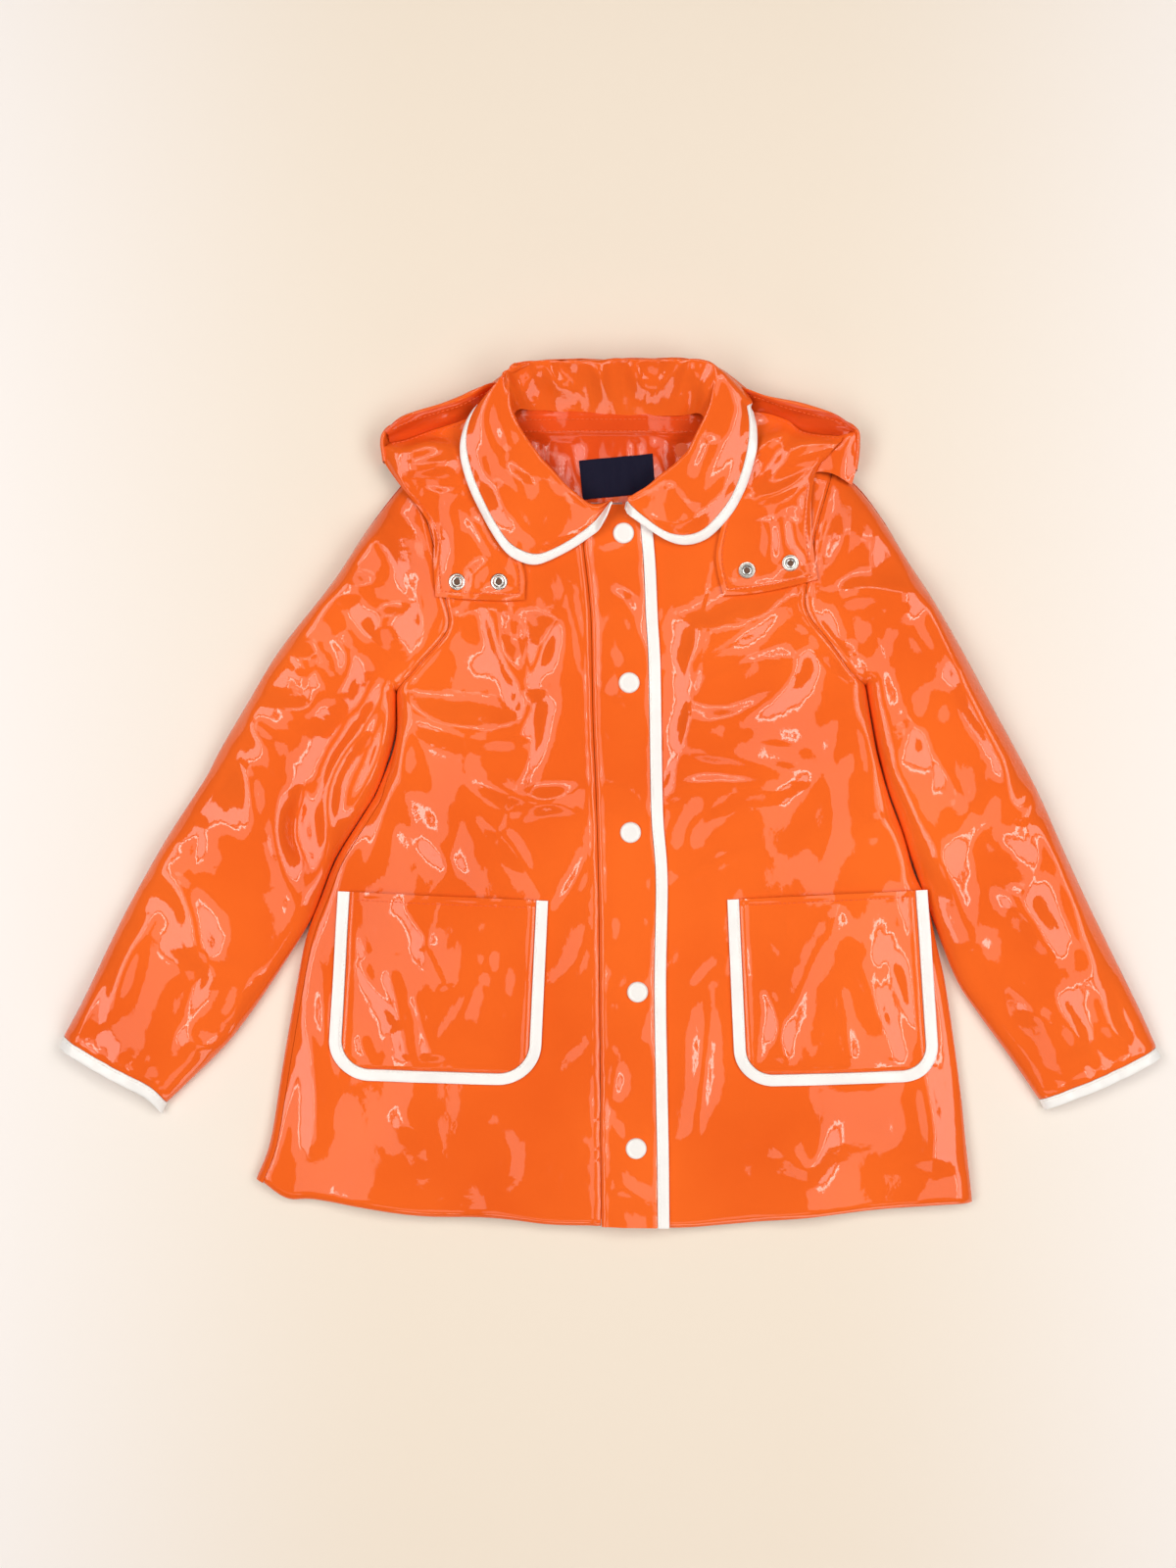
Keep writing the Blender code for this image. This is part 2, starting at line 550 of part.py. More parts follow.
def side_seam(side, wrap, clear):
    """Line of a side seam, from the underarm down, and its clearance towards the middle."""
    amounts = wrap * ease(np.arange(len(side)) / 40) + clear
    return moved_in(side, amounts)


def sleeve_inner(side, free, leaves):
    """Inner edge of a sleeve: along the body's side down to where it leaves it, then free."""
    beside = moved_in(side, -SLEEVE_CLEAR * (0.5 + 0.5 * ease(np.arange(len(side)) / 10)))
    beside = beside[beside[:, 1] > leaves][::12]
    return smooth(np.vstack([beside, free]))


def armhole_from(seam, armhole):
    return np.vstack([seam[:1], armhole[4:]])


def front(name, side, armhole, shoulder, neck, centre, wrap, lift):
    """A front panel, its grid running from its side to its centre line and from hem to neck."""
    seam = side_seam(side, wrap, GAP / 2)[::-1]
    armhole = armhole_from(seam[::-1], armhole)
    hem = between(HEM, seam[0], centre[0])
    rows = panel_rows(SIDE_SHARE, SIDE_ROWS, ARMHOLE_ROWS)
    left = lambda v: chain([seam, armhole], [SIDE_SHARE, 1 - SIDE_SHARE], v)
    right = lambda v: at(centre, v)
    top = lambda u: chain([shoulder, neck], [SHOULDER_SHARE, 1 - SHOULDER_SHARE], u)
    width = np.linalg.norm(left(rows) - right(rows), axis=1)
    near = [0, 4.5] if wrap > 1 else [0, 0.7, 2.6, 6, 11]
    u = near_and_even(width, near, 12)
    v = np.repeat(rows[:, None], u.shape[1], axis=1)
    plan = coons(lambda t: at(hem, t), top, left, right, u, v)
    x, y = plan[..., 0], plan[..., 1]
    z = upper_side(x, y, [side], shoulder) + lift(x, y) + GAP / 2
    wall(name, np.dstack([x, y, z]), VINYL, "orange_vinyl")


def back():
    """The back lies on the surface, turns up at its sides and comes round at the right one."""
    right = side_seam(PATH["side_right"], 0, 0)[::-1]
    left = side_seam(PATH["side_left"], 0, 0)[::-1]
    rows = panel_rows(SIDE_SHARE, SIDE_ROWS, ARMHOLE_ROWS)
    shares = [SIDE_SHARE, 1 - SIDE_SHARE]
    near_side = lambda t: chain([right, PATH["back_armhole_right"]], shares, t)
    far_side = lambda t: chain([left, PATH["back_armhole_left"]], shares, t)
    width = np.linalg.norm(near_side(rows) - far_side(rows), axis=1)
    close = np.array([0, 0.35, 1.4, 4.0, 12.0]) / width[:, None]
    middle = close[:, -1:] + (1 - 2 * close[:, -1:]) * np.linspace(0, 1, 9)[None, 1:-1]
    u = np.hstack([close, middle, 1 - close[:, ::-1]])
    v = np.repeat(rows[:, None], u.shape[1], axis=1)
    inside_hem = [(x * 0.985, y + 3.0) for x, y in HEM[2:-1]]
    hem = smooth([tuple(right[0])] + inside_hem + [tuple(left[0])])
    tops = [PATH["shoulder_right"], PATH["neck_back"], PATH["shoulder_left"][::-1]]
    plan = coons(lambda t: at(hem, t), lambda t: chain(tops, [0.29, 0.42, 0.29], t),
                 near_side, far_side, u, v)
    x, y = plan[..., 0], plan[..., 1]
    edges = [PATH["side_right"], PATH["side_left"]]
    flat = np.dstack([x, y, lower_side(x, y, edges)])

    seam = side_seam(PATH["side_right"], SIDE_WRAP, 0)[::-1]
    at_side = rows <= SIDE_SHARE
    start = at(right, rows[at_side] / SIDE_SHARE)
    end = at(seam, rows[at_side] / SIDE_SHARE)
    turned_up = []
    for share in (0.93, 0.5, 0.2, 0.05):
        spot = start * (1 - share) + end * share
        x, y = spot[:, 0], spot[:, 1]
        edge = EDGE_HEIGHT - SEAM_HALF
        reach = np.linalg.norm(end - start, axis=1) * share
        rise = edge + (cloth_height(x, y) - edge) * quarter(reach / TOP_ROLL)
        turned_up.append(np.column_stack([spot, rise]))
    turned_up = np.array(turned_up).transpose(1, 0, 2)
    upper = np.repeat(flat[~at_side][:, :1], 4, axis=1)
    grid = np.concatenate([np.concatenate([turned_up, upper]), flat], axis=1)
    wall("back", grid, VINYL, "orange_vinyl", shown=-1)


def sleeve(name, outer, inner, front_armhole, back_armhole, cuff, shift, cuff_out):
    """A tube from the armhole to the cuff, flat below, with its wall's edges turned round."""
    stations = np.linspace(0, 1, 14)
    outer_line, inner_line = at(outer, stations), at(inner, stations ** SLEEVE_SKEW)
    tops = np.array([0, 0.7, 2.6, 6, 11])
    unders = np.array([0.5, 1.8, 4.2])
    even = np.arange(1, ARMHOLE_ROWS) / ARMHOLE_ROWS
    rings = []
    for i, s in enumerate(stations):
        a, b = outer_line[i], inner_line[i]
        width = np.linalg.norm(b - a)
        over = np.concatenate([tops / width, even, 1 - tops[::-1] / width])
        under = np.concatenate([1 - unders / width, even[::-1], unders[::-1] / width])
        ring = []
        for shares, armhole, side in ((over, front_armhole, upper_side), (under, back_armhole, lower_side)):
            straight = a + (b - a) * shares[:, None]
            start_straight = outer[0] + (inner[0] - outer[0]) * shares[:, None]
            end_straight = outer[-1] + (inner[-1] - outer[-1]) * shares[:, None]
            bow = at(armhole, shares) - start_straight
            bow[:, 0] += shift
            bow_end = at(cuff, shares) - end_straight
            reach = 0.34 * (1 - 0.9 * shares ** 2)
            fade = np.clip(1 - s / reach, 0, 1)[:, None] ** 2
            fade_end = np.clip((s - 0.8) / 0.2, 0, 1)
            plan = straight + bow * fade + bow_end * fade_end
            x, y = plan[:, 0], plan[:, 1]
            ring.append(np.column_stack([x, y, side(x, y, [outer, inner])]))
        rings.append(np.vstack(ring))
    rings = np.array(rings)
    wall(name, rings, VINYL, "orange_vinyl", wrap=True)
    out = np.array([*cuff_out, 0.0])
    first = rings[-1] + out / np.linalg.norm(out) * GAP
    middle = first.mean(axis=0)
    last = first + out
    last[:, 2] = np.where(first[:, 2] > 1.0, last[:, 2] * 0.94, last[:, 2])
    edge = last + out * 0.06
    edge[:, :2] += (middle[:2] + out[:2] - edge[:, :2]) * 0.012
    wall("cuff_binding_" + name.split("_")[1], np.array([first, last, edge]),
         CUFF_BINDING_DEPTH, "white_binding", wrap=True)


# ---------------------------------------------------------------- collar, hood and trim

def front_surface(x, y):
    """Height of the topmost front cloth, placket included, away from the edges."""
    return cloth_height(x, y) + placket_lift(x, y) + GAP / 2


def collar():
    """Each station runs from the neck seam up to the roll and down to the outer edge."""
    table = np.array(COLLAR, float)
    on_back = under_height(table[:, 0], table[:, 1]) + VINYL
    on_front = np.maximum(front_surface(table[:, 0], table[:, 1]), on_back)
    seam_height = np.where((table[:, 1] > 264) & (np.abs(table[:, 0]) < 60), on_back, on_front)
    across = np.hypot(table[:, 2] - table[:, 0], table[:, 3] - table[:, 1])
    slant = across / np.hypot(across, table[:, 4] - seam_height)
    seam_height += COLLAR_SEAM_LIFT + COLLAR_DEPTH * slant
    table = np.column_stack([table[:, :2], seam_height, table[:, 2:]])
    stations = smooth(table, 400)
    stations = at_by_edge(stations, 42)
    rows = []
    for seam_x, seam_y, seam_z, *rest in stations:
        seam, corner, edge = np.array([seam_x, seam_y, seam_z]), np.array(rest[:3]), np.array(rest[3:])
        fall = edge - corner
        length = np.linalg.norm(fall)
        cloth_end = corner + fall * max(1 - (BINDING_WIDTH + GAP) / length, 0.12)
        roll = min(COLLAR_ROLL, 0.45 * np.linalg.norm(corner - seam), 0.5 * np.linalg.norm(cloth_end - corner))
        up_end = corner + (seam - corner) / np.linalg.norm(seam - corner) * roll
        down_start = corner + fall / length * roll
        path = [seam, (seam + up_end) / 2, up_end]
        path.append(0.25 * up_end + 0.5 * corner + 0.25 * down_start)
        path.append(down_start)
        for share in (0.33, 0.66, 1.0):
            spot = down_start * (1 - share) + cloth_end * share
            swell = 2.0 * np.sin(np.pi * share) * min(1.0, length / 50)
            path.append(spot + np.array([0, 0, swell]))
        rows.append(path)
    grid = np.array(rows)
    wall("collar", grid, COLLAR_DEPTH, "orange_vinyl")
    normal = grid_normals(grid, False)
    normal *= np.sign(normal[..., 2].sum())
    up = normal[:, -1]
    fall = grid[:, -1] - grid[:, -2]
    fall /= np.linalg.norm(fall, axis=1)[:, None]
    depth = COLLAR_DEPTH + 0.4
    start = grid[:, -1] + fall * GAP - up * (depth - 0.2)
    wide = BINDING_WIDTH - GAP
    binding("collar_binding", start, start + fall * wide, up, depth)


def at_by_edge(stations, count):
    """Even stations by the length of the outer edge and the roll together."""
    steps = (np.linalg.norm(np.diff(stations[:, 6:9], axis=0), axis=1)
             + np.linalg.norm(np.diff(stations[:, 3:6], axis=0), axis=1))
    length = np.concatenate([[0], np.cumsum(steps)])
    where = np.linspace(0, length[-1], count)
    return np.stack([np.interp(where, length, stations[:, k]) for k in range(stations.shape[1])], -1)


def hood_side(name, wing_rows, tab_rows):
    """From the valley over the near rim, down across the shoulder to the end of the tab."""
    rows = [list(row) for row in wing_rows]
    for row in tab_rows:
        rows.append([(x, y, float(front_surface(x, y)) + rise + 0.1) for x, y, rise in row])
    wall(name, loft(rows, 17, 9), VINYL, "orange_vinyl")


def tab_surface(x, y):
    return front_surface(x, y) + LAYER + 0.1


def pocket(side):
    """Patch pocket and its white binding, both made from the front's own points moved out."""
    top_outer, top_inner, low_inner, low_outer, radius = POCKETS[side]
    corners = np.array([top_outer, top_inner, low_inner, low_outer], float)
    wide = np.linalg.norm(corners[1] - corners[0])
    tall = np.linalg.norm(corners[3] - corners[0])

    def placed(across, down):
        s, t = np.asarray(across) / wide, np.asarray(down) / tall
        s, t = s[..., None], t[..., None]
        return ((1 - s) * (1 - t) * corners[0] + s * (1 - t) * corners[1]
                + s * t * corners[2] + (1 - s) * t * corners[3])

    inset = BINDING_WIDTH + GAP
    inner_radius = radius - inset
    turns = np.linspace(0, np.pi / 2, 5)
    depth_rows = np.concatenate([np.linspace(0, tall - inset - inner_radius, 7)[:-1],
                                 tall - inset - inner_radius + inner_radius * np.sin(turns)])
    narrow = np.maximum(depth_rows - (tall - inset - inner_radius), 0)
    cut = inner_radius - np.sqrt(np.maximum(inner_radius ** 2 - narrow ** 2, 0))
    shares = np.linspace(0, 1, 9)
    across = (inset + cut)[:, None] * (1 - shares) + (wide - inset - cut)[:, None] * shares
    down = np.repeat(depth_rows[:, None], len(shares), axis=1)
    plan = placed(across, down)
    x, y = plan[..., 0], plan[..., 1]
    swell = POCKET_SWELL * np.sin(np.pi * shares)[None, :] * np.cos(np.pi * down / tall / 2) ** 0.5
    swell *= ease((np.minimum(shares, 1 - shares)[None, :]) / 0.12)
    z = front_surface(x, y) + LAYER + 0.1 + swell
    wall("pocket_" + side, np.dstack([x, y, z]), VINYL, "orange_vinyl")

    def outline(inward):
        r = radius - inward
        sides = np.linspace(0, tall - radius, 9)[:-1]
        left = np.column_stack([np.full(8, inward), sides])
        arc = np.linspace(0, np.pi / 2, 7)
        first = np.column_stack([radius - r * np.cos(arc), tall - radius + r * np.sin(arc)])
        floor = np.linspace(radius, wide - radius, 6)[1:-1]
        bottom = np.column_stack([floor, np.full(4, tall - inward)])
        second = np.column_stack([wide - radius + r * np.sin(arc), tall - radius + r * np.cos(arc)])
        right = np.column_stack([np.full(8, wide - inward), sides[::-1]])
        return np.vstack([left, first, bottom, second, right])

    lines = []
    for inward in (BINDING_WIDTH, 0.0):
        local = outline(inward)
        plan = placed(local[:, 0], local[:, 1])
        height = front_surface(plan[:, 0], plan[:, 1]) + GAP + 0.15
        lines.append(np.column_stack([plan, height]))
    binding("pocket_binding_" + side, lines[0], lines[1], np.array([0, 0, 1.0]), BINDING_DEPTH)


def placket():
    """The doubled strip on the left front, and the binding along its free edge."""
    rows = np.linspace(0, 1, 27)
    seam, edge = at(PATH["placket_seam"], rows), at(PATH["placket_edge"], rows)
    seam = seam + (GAP, 0)
    shares = np.linspace(0, 1, 5)[:, None]
    plan = np.array([a * (1 - shares) + (b - (GAP, 0)) * shares for a, b in zip(seam, edge)])
    x, y = plan[..., 0], plan[..., 1]
    z = cloth_height(x, y) + GAP / 2 + PLACKET_STEP
    wall("placket", np.dstack([x, y, z]), PLACKET_DEPTH, "orange_vinyl")
    outer = edge + (BINDING_WIDTH, 0)
    inner = np.column_stack([edge, cloth_height(edge[:, 0], edge[:, 1]) + GAP + 0.15])
    outer = np.column_stack([outer, cloth_height(outer[:, 0], outer[:, 1]) + GAP + 0.15])
    binding("placket_binding", inner, outer, np.array([0, 0, 1.0]), BINDING_DEPTH)


CAP_PROFILE = [(0, 2.2), (3.6, 2.1), (6.4, 1.6), (7.5, 0.8), (7.5, 0.0), (0, 0.0)]
SNAP_PROFILE = [(0, 0.7), (1.9, 0.7), (2.3, 1.6), (4.4, 1.9), (5.9, 1.2), (6.25, 0.0), (0, 0.0)]


def fasteners():
    for number, (x, y) in enumerate(SNAP_CAPS, 1):
        centre, up = seated(front_surface, x, y, SNAP_CAP_RADIUS)
        turned("snap_cap_%d" % number, centre, up, CAP_PROFILE, 14, "white_plastic")
    for side, spots in HOOD_SNAPS.items():
        for number, (x, y) in enumerate(spots, 1):
            centre, up = seated(tab_surface, x, y, HOOD_SNAP_RADIUS)
            turned("hood_snap_%s_%d" % (side, number), centre, up, SNAP_PROFILE, 14, "steel")


def label(name, corners, lift, material_name):
    top_left, top_right, low_right, low_left = [np.array(c, float) for c in corners]
    s, t = np.meshgrid(np.linspace(0, 1, 6), np.linspace(0, 1, 5))
    s, t = s[..., None], t[..., None]
    plan = ((1 - s) * (1 - t) * top_left + s * (1 - t) * top_right
            + s * t * low_right + (1 - s) * t * low_left)
    x, y = plan[..., 0], plan[..., 1]
    z = under_height(x, y) + VINYL + GAP + LABEL_DEPTH + lift
    wall(name, np.dstack([x, y, z]), LABEL_DEPTH, material_name)


def hood_crown():
    """The hood's hidden layers as one rounded solid, thin at its edges."""
    rings = []
    for inset, low, high in CROWN_EDGE:
        ring = []
        half_x, half_y = CROWN_HALF[0] - inset, CROWN_HALF[1] - inset
        corner = max(CROWN_CORNER - inset, 8)
        for turn in range(4):
            for step in range(5):
                angle = np.pi / 2 * (turn + step / 4)
                side_x = 1 if turn in (0, 3) else -1
                side_y = 1 if turn in (0, 1) else -1
                ring.append((CROWN_CENTRE[0] + side_x * (half_x - corner) + corner * np.cos(angle),
                             CROWN_CENTRE[1] + side_y * (half_y - corner) + corner * np.sin(angle)))
        rings.append((np.array(ring), low, high))
    count = len(rings[0][0])
    levels = [(ring, high) for ring, low, high in rings[::-1]] + [(ring, low) for ring, low, high in rings]
    points = np.vstack([np.column_stack([ring, np.full(count, z)]) for ring, z in levels])
    points = np.vstack([points, (*CROWN_CENTRE, CROWN_HEIGHT), (*CROWN_CENTRE, 0)])
    faces = []
    for r in range(len(levels) - 1):
        for k in range(count):
            n = (k + 1) % count
            faces.append((r * count + k, r * count + n, (r + 1) * count + n, (r + 1) * count + k))
    end = (len(levels) - 1) * count
    for k in range(count):
        n = (k + 1) % count
        faces.append((k, len(points) - 2, n))
        faces.append((end + k, end + n, len(points) - 1))
    add_mesh("hood_crown", points, faces, "orange_vinyl")


def hood():
    hood_side("hood_side_right", HOOD_SIDE_RIGHT, HOOD_TAB_RIGHT)
    hood_side("hood_side_left", HOOD_SIDE_LEFT, HOOD_TAB_LEFT)
    wall("hood_hem_left", loft(HOOD_HEM_LEFT, 6, 5), VINYL, "orange_vinyl")
    wall("hood_band_right", loft(HOOD_BAND_RIGHT, 11, 10), VINYL, "orange_vinyl")
    wall("hood_band_left", loft(HOOD_BAND_LEFT, 11, 10), VINYL, "orange_vinyl")
    path = at(smooth(HOOD_CENTRE), np.linspace(0, 1, 14))
    ends = np.minimum(np.linspace(0, 1, 14), np.linspace(1, 0, 14))
    tops = HOOD_CENTRE_TOP - 14 * (1 - ease(ends / 0.16))
    grid = np.array([[(x, y, 0), (x, y, top * 0.5), (x, y - 0.4, top)] for (x, y), top in zip(path, tops)])
    wall("hood_centre", grid, HOOD_CENTRE_DEPTH, "orange_vinyl")
    hood_crown()


def no_lift(x, y):
    return np.zeros_like(x)


# ---------------------------------------------------------------- the coat

for old in list(bpy.data.objects):
    bpy.data.objects.remove(old, do_unlink=True)

PATH = {
    "side_right": smooth(SIDE_RIGHT),
    "side_left": smooth(SIDE_LEFT),
    "armhole_right": smooth(ARMHOLE_RIGHT),
    "armhole_left": smooth(ARMHOLE_LEFT),
    "back_armhole_right": smooth(BACK_ARMHOLE_RIGHT),
    "back_armhole_left": smooth(BACK_ARMHOLE_LEFT),
    "shoulder_right": smooth(SHOULDER_RIGHT),
    "shoulder_left": smooth(SHOULDER_LEFT),
    "neck_right": smooth(NECK_RIGHT),
    "neck_left": smooth(NECK_LEFT),
    "neck_back": smooth(NECK_BACK),
    "placket_seam": smooth(PLACKET_SEAM),
    "placket_edge": smooth(PLACKET_EDGE),
    "outer_right": smooth(OUTER_RIGHT),
    "outer_left": smooth(OUTER_LEFT),
    "cuff_right": smooth(CUFF_RIGHT),
    "cuff_left": smooth(CUFF_LEFT),
}

PATH["inner_right"] = sleeve_inner(PATH["side_right"], FREE_RIGHT, LEAVES_BODY["right"])
PATH["inner_left"] = sleeve_inner(PATH["side_left"], FREE_LEFT, LEAVES_BODY["left"])

ROOT = bpy.data.objects.new("raincoat", None)
bpy.context.scene.collection.objects.link(ROOT)

material("orange_vinyl", (0.86, 0.12, 0.015), 0.12)
material("white_binding", (0.86, 0.85, 0.82), 0.35)
material("white_plastic", (0.88, 0.87, 0.86), 0.3)
material("steel", (0.72, 0.72, 0.72), 0.25, 1.0)
material("navy_label", (0.01, 0.01, 0.04), 0.6)
material("grey_label", (0.5, 0.4, 0.4), 0.6)

front("front_right", PATH["side_right"], PATH["armhole_right"], PATH["shoulder_right"],
      PATH["neck_right"], PATH["placket_seam"] - (GAP / 2, 0), SIDE_WRAP, placket_lift)
front("front_left", PATH["side_left"], PATH["armhole_left"], PATH["shoulder_left"],
      PATH["neck_left"], PATH["placket_seam"] + (8, 0), 0, no_lift)
back()
for side, away, cuff_out in (("right", -1, CUFF_OUT_RIGHT), ("left", 1, CUFF_OUT_LEFT)):
    wrap = SIDE_WRAP if side == "right" else 0
    seam = side_seam(PATH["side_" + side], wrap, GAP / 2)
    sleeve("sleeve_" + side, PATH["outer_" + side], PATH["inner_" + side],
           armhole_from(seam, PATH["armhole_" + side])[::-1], PATH["back_armhole_" + side][::-1],
           PATH["cuff_" + side], away * ARMHOLE_CLEAR, cuff_out)
placket()
pocket("right")
pocket("left")
collar()
hood()
fasteners()
label("neck_label", NECK_LABEL, 0.0, "navy_label")
label("size_label", SIZE_LABEL, 0.0, "grey_label")
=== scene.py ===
"""Looks of a child's glossy vinyl raincoat with white binding, laid flat with its front up.

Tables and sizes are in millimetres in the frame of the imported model, and MM turns them into metres.
The shells follow the same lines and heights as the solids that they stand for, with finer folds.
"""

import bpy
import numpy as np
from mathutils import Matrix
from numpy.linalg import norm


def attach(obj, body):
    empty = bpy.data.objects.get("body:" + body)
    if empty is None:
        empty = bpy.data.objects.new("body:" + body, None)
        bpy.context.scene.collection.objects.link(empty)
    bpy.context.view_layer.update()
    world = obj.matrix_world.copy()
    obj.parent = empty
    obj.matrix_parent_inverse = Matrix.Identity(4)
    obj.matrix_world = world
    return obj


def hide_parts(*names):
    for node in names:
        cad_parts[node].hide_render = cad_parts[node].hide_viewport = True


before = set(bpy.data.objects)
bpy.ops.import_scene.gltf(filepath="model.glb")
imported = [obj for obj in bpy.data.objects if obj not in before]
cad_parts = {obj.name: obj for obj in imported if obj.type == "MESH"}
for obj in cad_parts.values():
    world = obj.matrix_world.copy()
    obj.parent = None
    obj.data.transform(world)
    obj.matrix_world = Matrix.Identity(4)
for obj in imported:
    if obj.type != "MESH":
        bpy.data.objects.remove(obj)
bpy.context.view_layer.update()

MM = 0.001
SIDES = ("right", "left")  # the wearer's; the right one is at -X

# Cloth and trim
VINYL = 1.2             # thickness of the coated cloth in the solids
SHELL = 0.7             # thickness of the shown cloth
DOUBLED = 1.2           # thickness of the shown cloth where it is doubled
GAP = 0.3               # clearance between pieces at seams and between layers
LAYER = VINYL + GAP     # how far each layer lies above the one below
PLACKET_STEP = GAP + 1.6
PLACKET_WIDTH = 42.0
UNDER_PLACKET = 8.0     # how far the left front runs on under the placket
COLLAR_DEPTH = 1.8      # two cloths, pressed
COLLAR_ROLL = 5.0       # radius of the collar's roll line
COLLAR_SEAM_LIFT = 0.5
COLLAR_TAPE = 2.2       # depth of the collar's binding
BINDING_WIDTH = 8.4
BINDING_DEPTH = 2.0
TAPE_SEAT = GAP + 0.15  # how far a binding lies above the cloth
SEWN = 0.17             # share of a binding's width at which it is sewn on
POCKET_HEM = 5.2        # width of a pocket's top hem
SNAP_CAP_RADIUS = 7.5
HOOD_SNAP_RADIUS = 6.25
FLOOR_CLEAR = 0.02      # lowest that cloth lies

# How the coat lies
REST_HEIGHT = 12.0      # general height of the fronts over the surface
EDGE_HEIGHT = 4.0       # height at which an edge turns from the underside to the top
TOP_ROLL = 12.0         # width of the round turn on the top side of an edge
UNDER_ROLL = 4.0        # width of the round turn on the underside
HEM_DROP = 3.2          # how far the front's hem turns down
WRAP = {"right": 6.0, "left": 0.0}  # how far the back comes round onto the top at a side seam
SLEEVE_CLEAR = 0.4      # between a sleeve and the body beside it
SLEEVE_SKEW = 1.8       # keeps the rows of a sleeve square to it from the underarm on
SEAM_HALF = 0.45        # half of the clearance where two turned edges meet
ARMHOLE_CLEAR = 0.35    # how far a sleeve starts outside its armhole line
SIDE_SHARE = 0.66       # share of a body panel's edge below the underarm
SHOULDER_SHARE = 0.42   # share of a front's upper edge on the shoulder

# Hidden hood layers under the back: a rounded slab, and the rise that it gives the back
CROWN_CENTRE = np.array([5.0, 236.0])
CROWN_HALF = np.array([92.0, 66.0])
CROWN_CORNER = 30.0
CROWN_HEIGHT = 3.6
CROWN_RISE = CROWN_HEIGHT + GAP
CROWN_MARGIN = 20.0     # how far past the slab the back stays up
CROWN_SLOPE = 30.0      # distance over which the back then comes down
NECK_RISE = 6.0         # extra rise of the back at its neck seam
NECK_START = 245.0      # y at which it starts to rise
NECK_SLOPE = 26.0
NECK_FACING = 256.0     # y of the lower edge of the facing inside the neck
HOOD_ON_FRONT = 232.0   # y below which the hood's sides come to lie on the fronts
HOOD_SETTLES = 24.0     # distance over which they do

PIXEL = 0.7             # millimetres of coat to a pixel of the photograph
MIDDLE = (622.0, 808.0)  # pixel of the frame's origin

# Lines seen from above, by name: columns x, y. Sleeves' outer edges run from armhole to cuff
OUTLINES = {
    "side_right": [(-153, 72), (-154, 37), (-166, 3), (-173, -10), (-192, -40), (-200, -56), (-206, -72),
         (-218, -104), (-226, -144), (-235, -196), (-244, -251), (-254, -278)],
    "side_left": [(184, 76), (189, 46), (193, 25), (202, -6), (211, -30), (219, -58), (228, -78),
         (236, -113), (241, -135), (247, -174), (253, -220), (256, -250), (261, -295)],
    "armhole_right": [(-153, 72), (-134, 93), (-116, 116), (-117, 137), (-126, 178), (-141, 230)],
    "armhole_left": [(184, 76), (171, 86), (159, 104), (141, 127), (140, 146), (147, 185), (160, 230)],
    "back_armhole_right": [(-153, 72), (-137, 90), (-127, 112), (-125, 145), (-131, 190), (-141, 230)],
    "back_armhole_left": [(184, 76), (165, 92), (153, 112), (147, 145), (151, 190), (160, 230)],
    "shoulder_right": [(-141, 230), (-104, 253), (-70, 272)],
    "shoulder_left": [(160, 230), (112, 253), (69, 270)],
    "neck_right": [(-70, 272), (-68, 261), (-58, 243), (-43, 226), (-28, 212), (-19, 206)],
    "neck_left": [(69, 270), (67, 261), (59, 244), (46, 229), (31, 216), (17, 208), (0, 206),
         (-11, 206)],
    "neck_back": [(-70, 272), (-43, 273), (-17, 271), (15, 269), (43, 269), (69, 270)],
    "placket_seam": [(-6, -311), (-7, -172), (-8, -64), (-10, 6), (-12, 55), (-13, 116), (-15, 144),
         (-19, 180), (-19, 205)],
    "placket_edge": [(34.5, -312.5), (34, -260), (33, -207), (32, -137), (33, -63), (30, -20), (29, 20),
         (28, 90), (26, 126), (24.5, 162), (22, 192), (21, 206)],
    "outer_right": [(-141, 230), (-159, 208), (-178, 182), (-200, 149), (-237, 102), (-260, 64),
         (-280, 30), (-291, 9), (-318, -33), (-344, -79), (-360, -111), (-378, -149), (-392, -175)],
    "outer_left": [(160, 230), (177, 220), (195, 197), (215, 165), (232, 139), (254, 101), (276, 60),
         (306, 4), (327, -43), (344, -80), (360, -113), (381, -156), (393, -183)],
    "cuff_right": [(-392, -175), (-360, -194), (-329, -211), (-318, -223)],
    "cuff_left": [(393, -183), (356, -202), (309, -221)],
}
HEM = [(-254, -278), (-248, -286), (-231, -292), (-208, -293), (-138, -304), (-86, -305), (-44, -310),
       (-8, -311), (43, -313), (88, -310), (143, -305), (198, -299), (241, -296), (261, -295)]
# From the armhole a sleeve's inner edge lies along the body's side down to LEAVES_BODY, then here
FREE = {
    "right": [(-233, -122), (-255, -155), (-275, -181), (-298, -204), (-318, -223)],
    "left": [(249, -134), (265, -159), (289, -192), (309, -221)],
}
LEAVES_BODY = {"right": -92.0, "left": -108.0}
CUFF_OUT = {"right": (-3.2, -7.8), "left": (3.4, -7.0)}

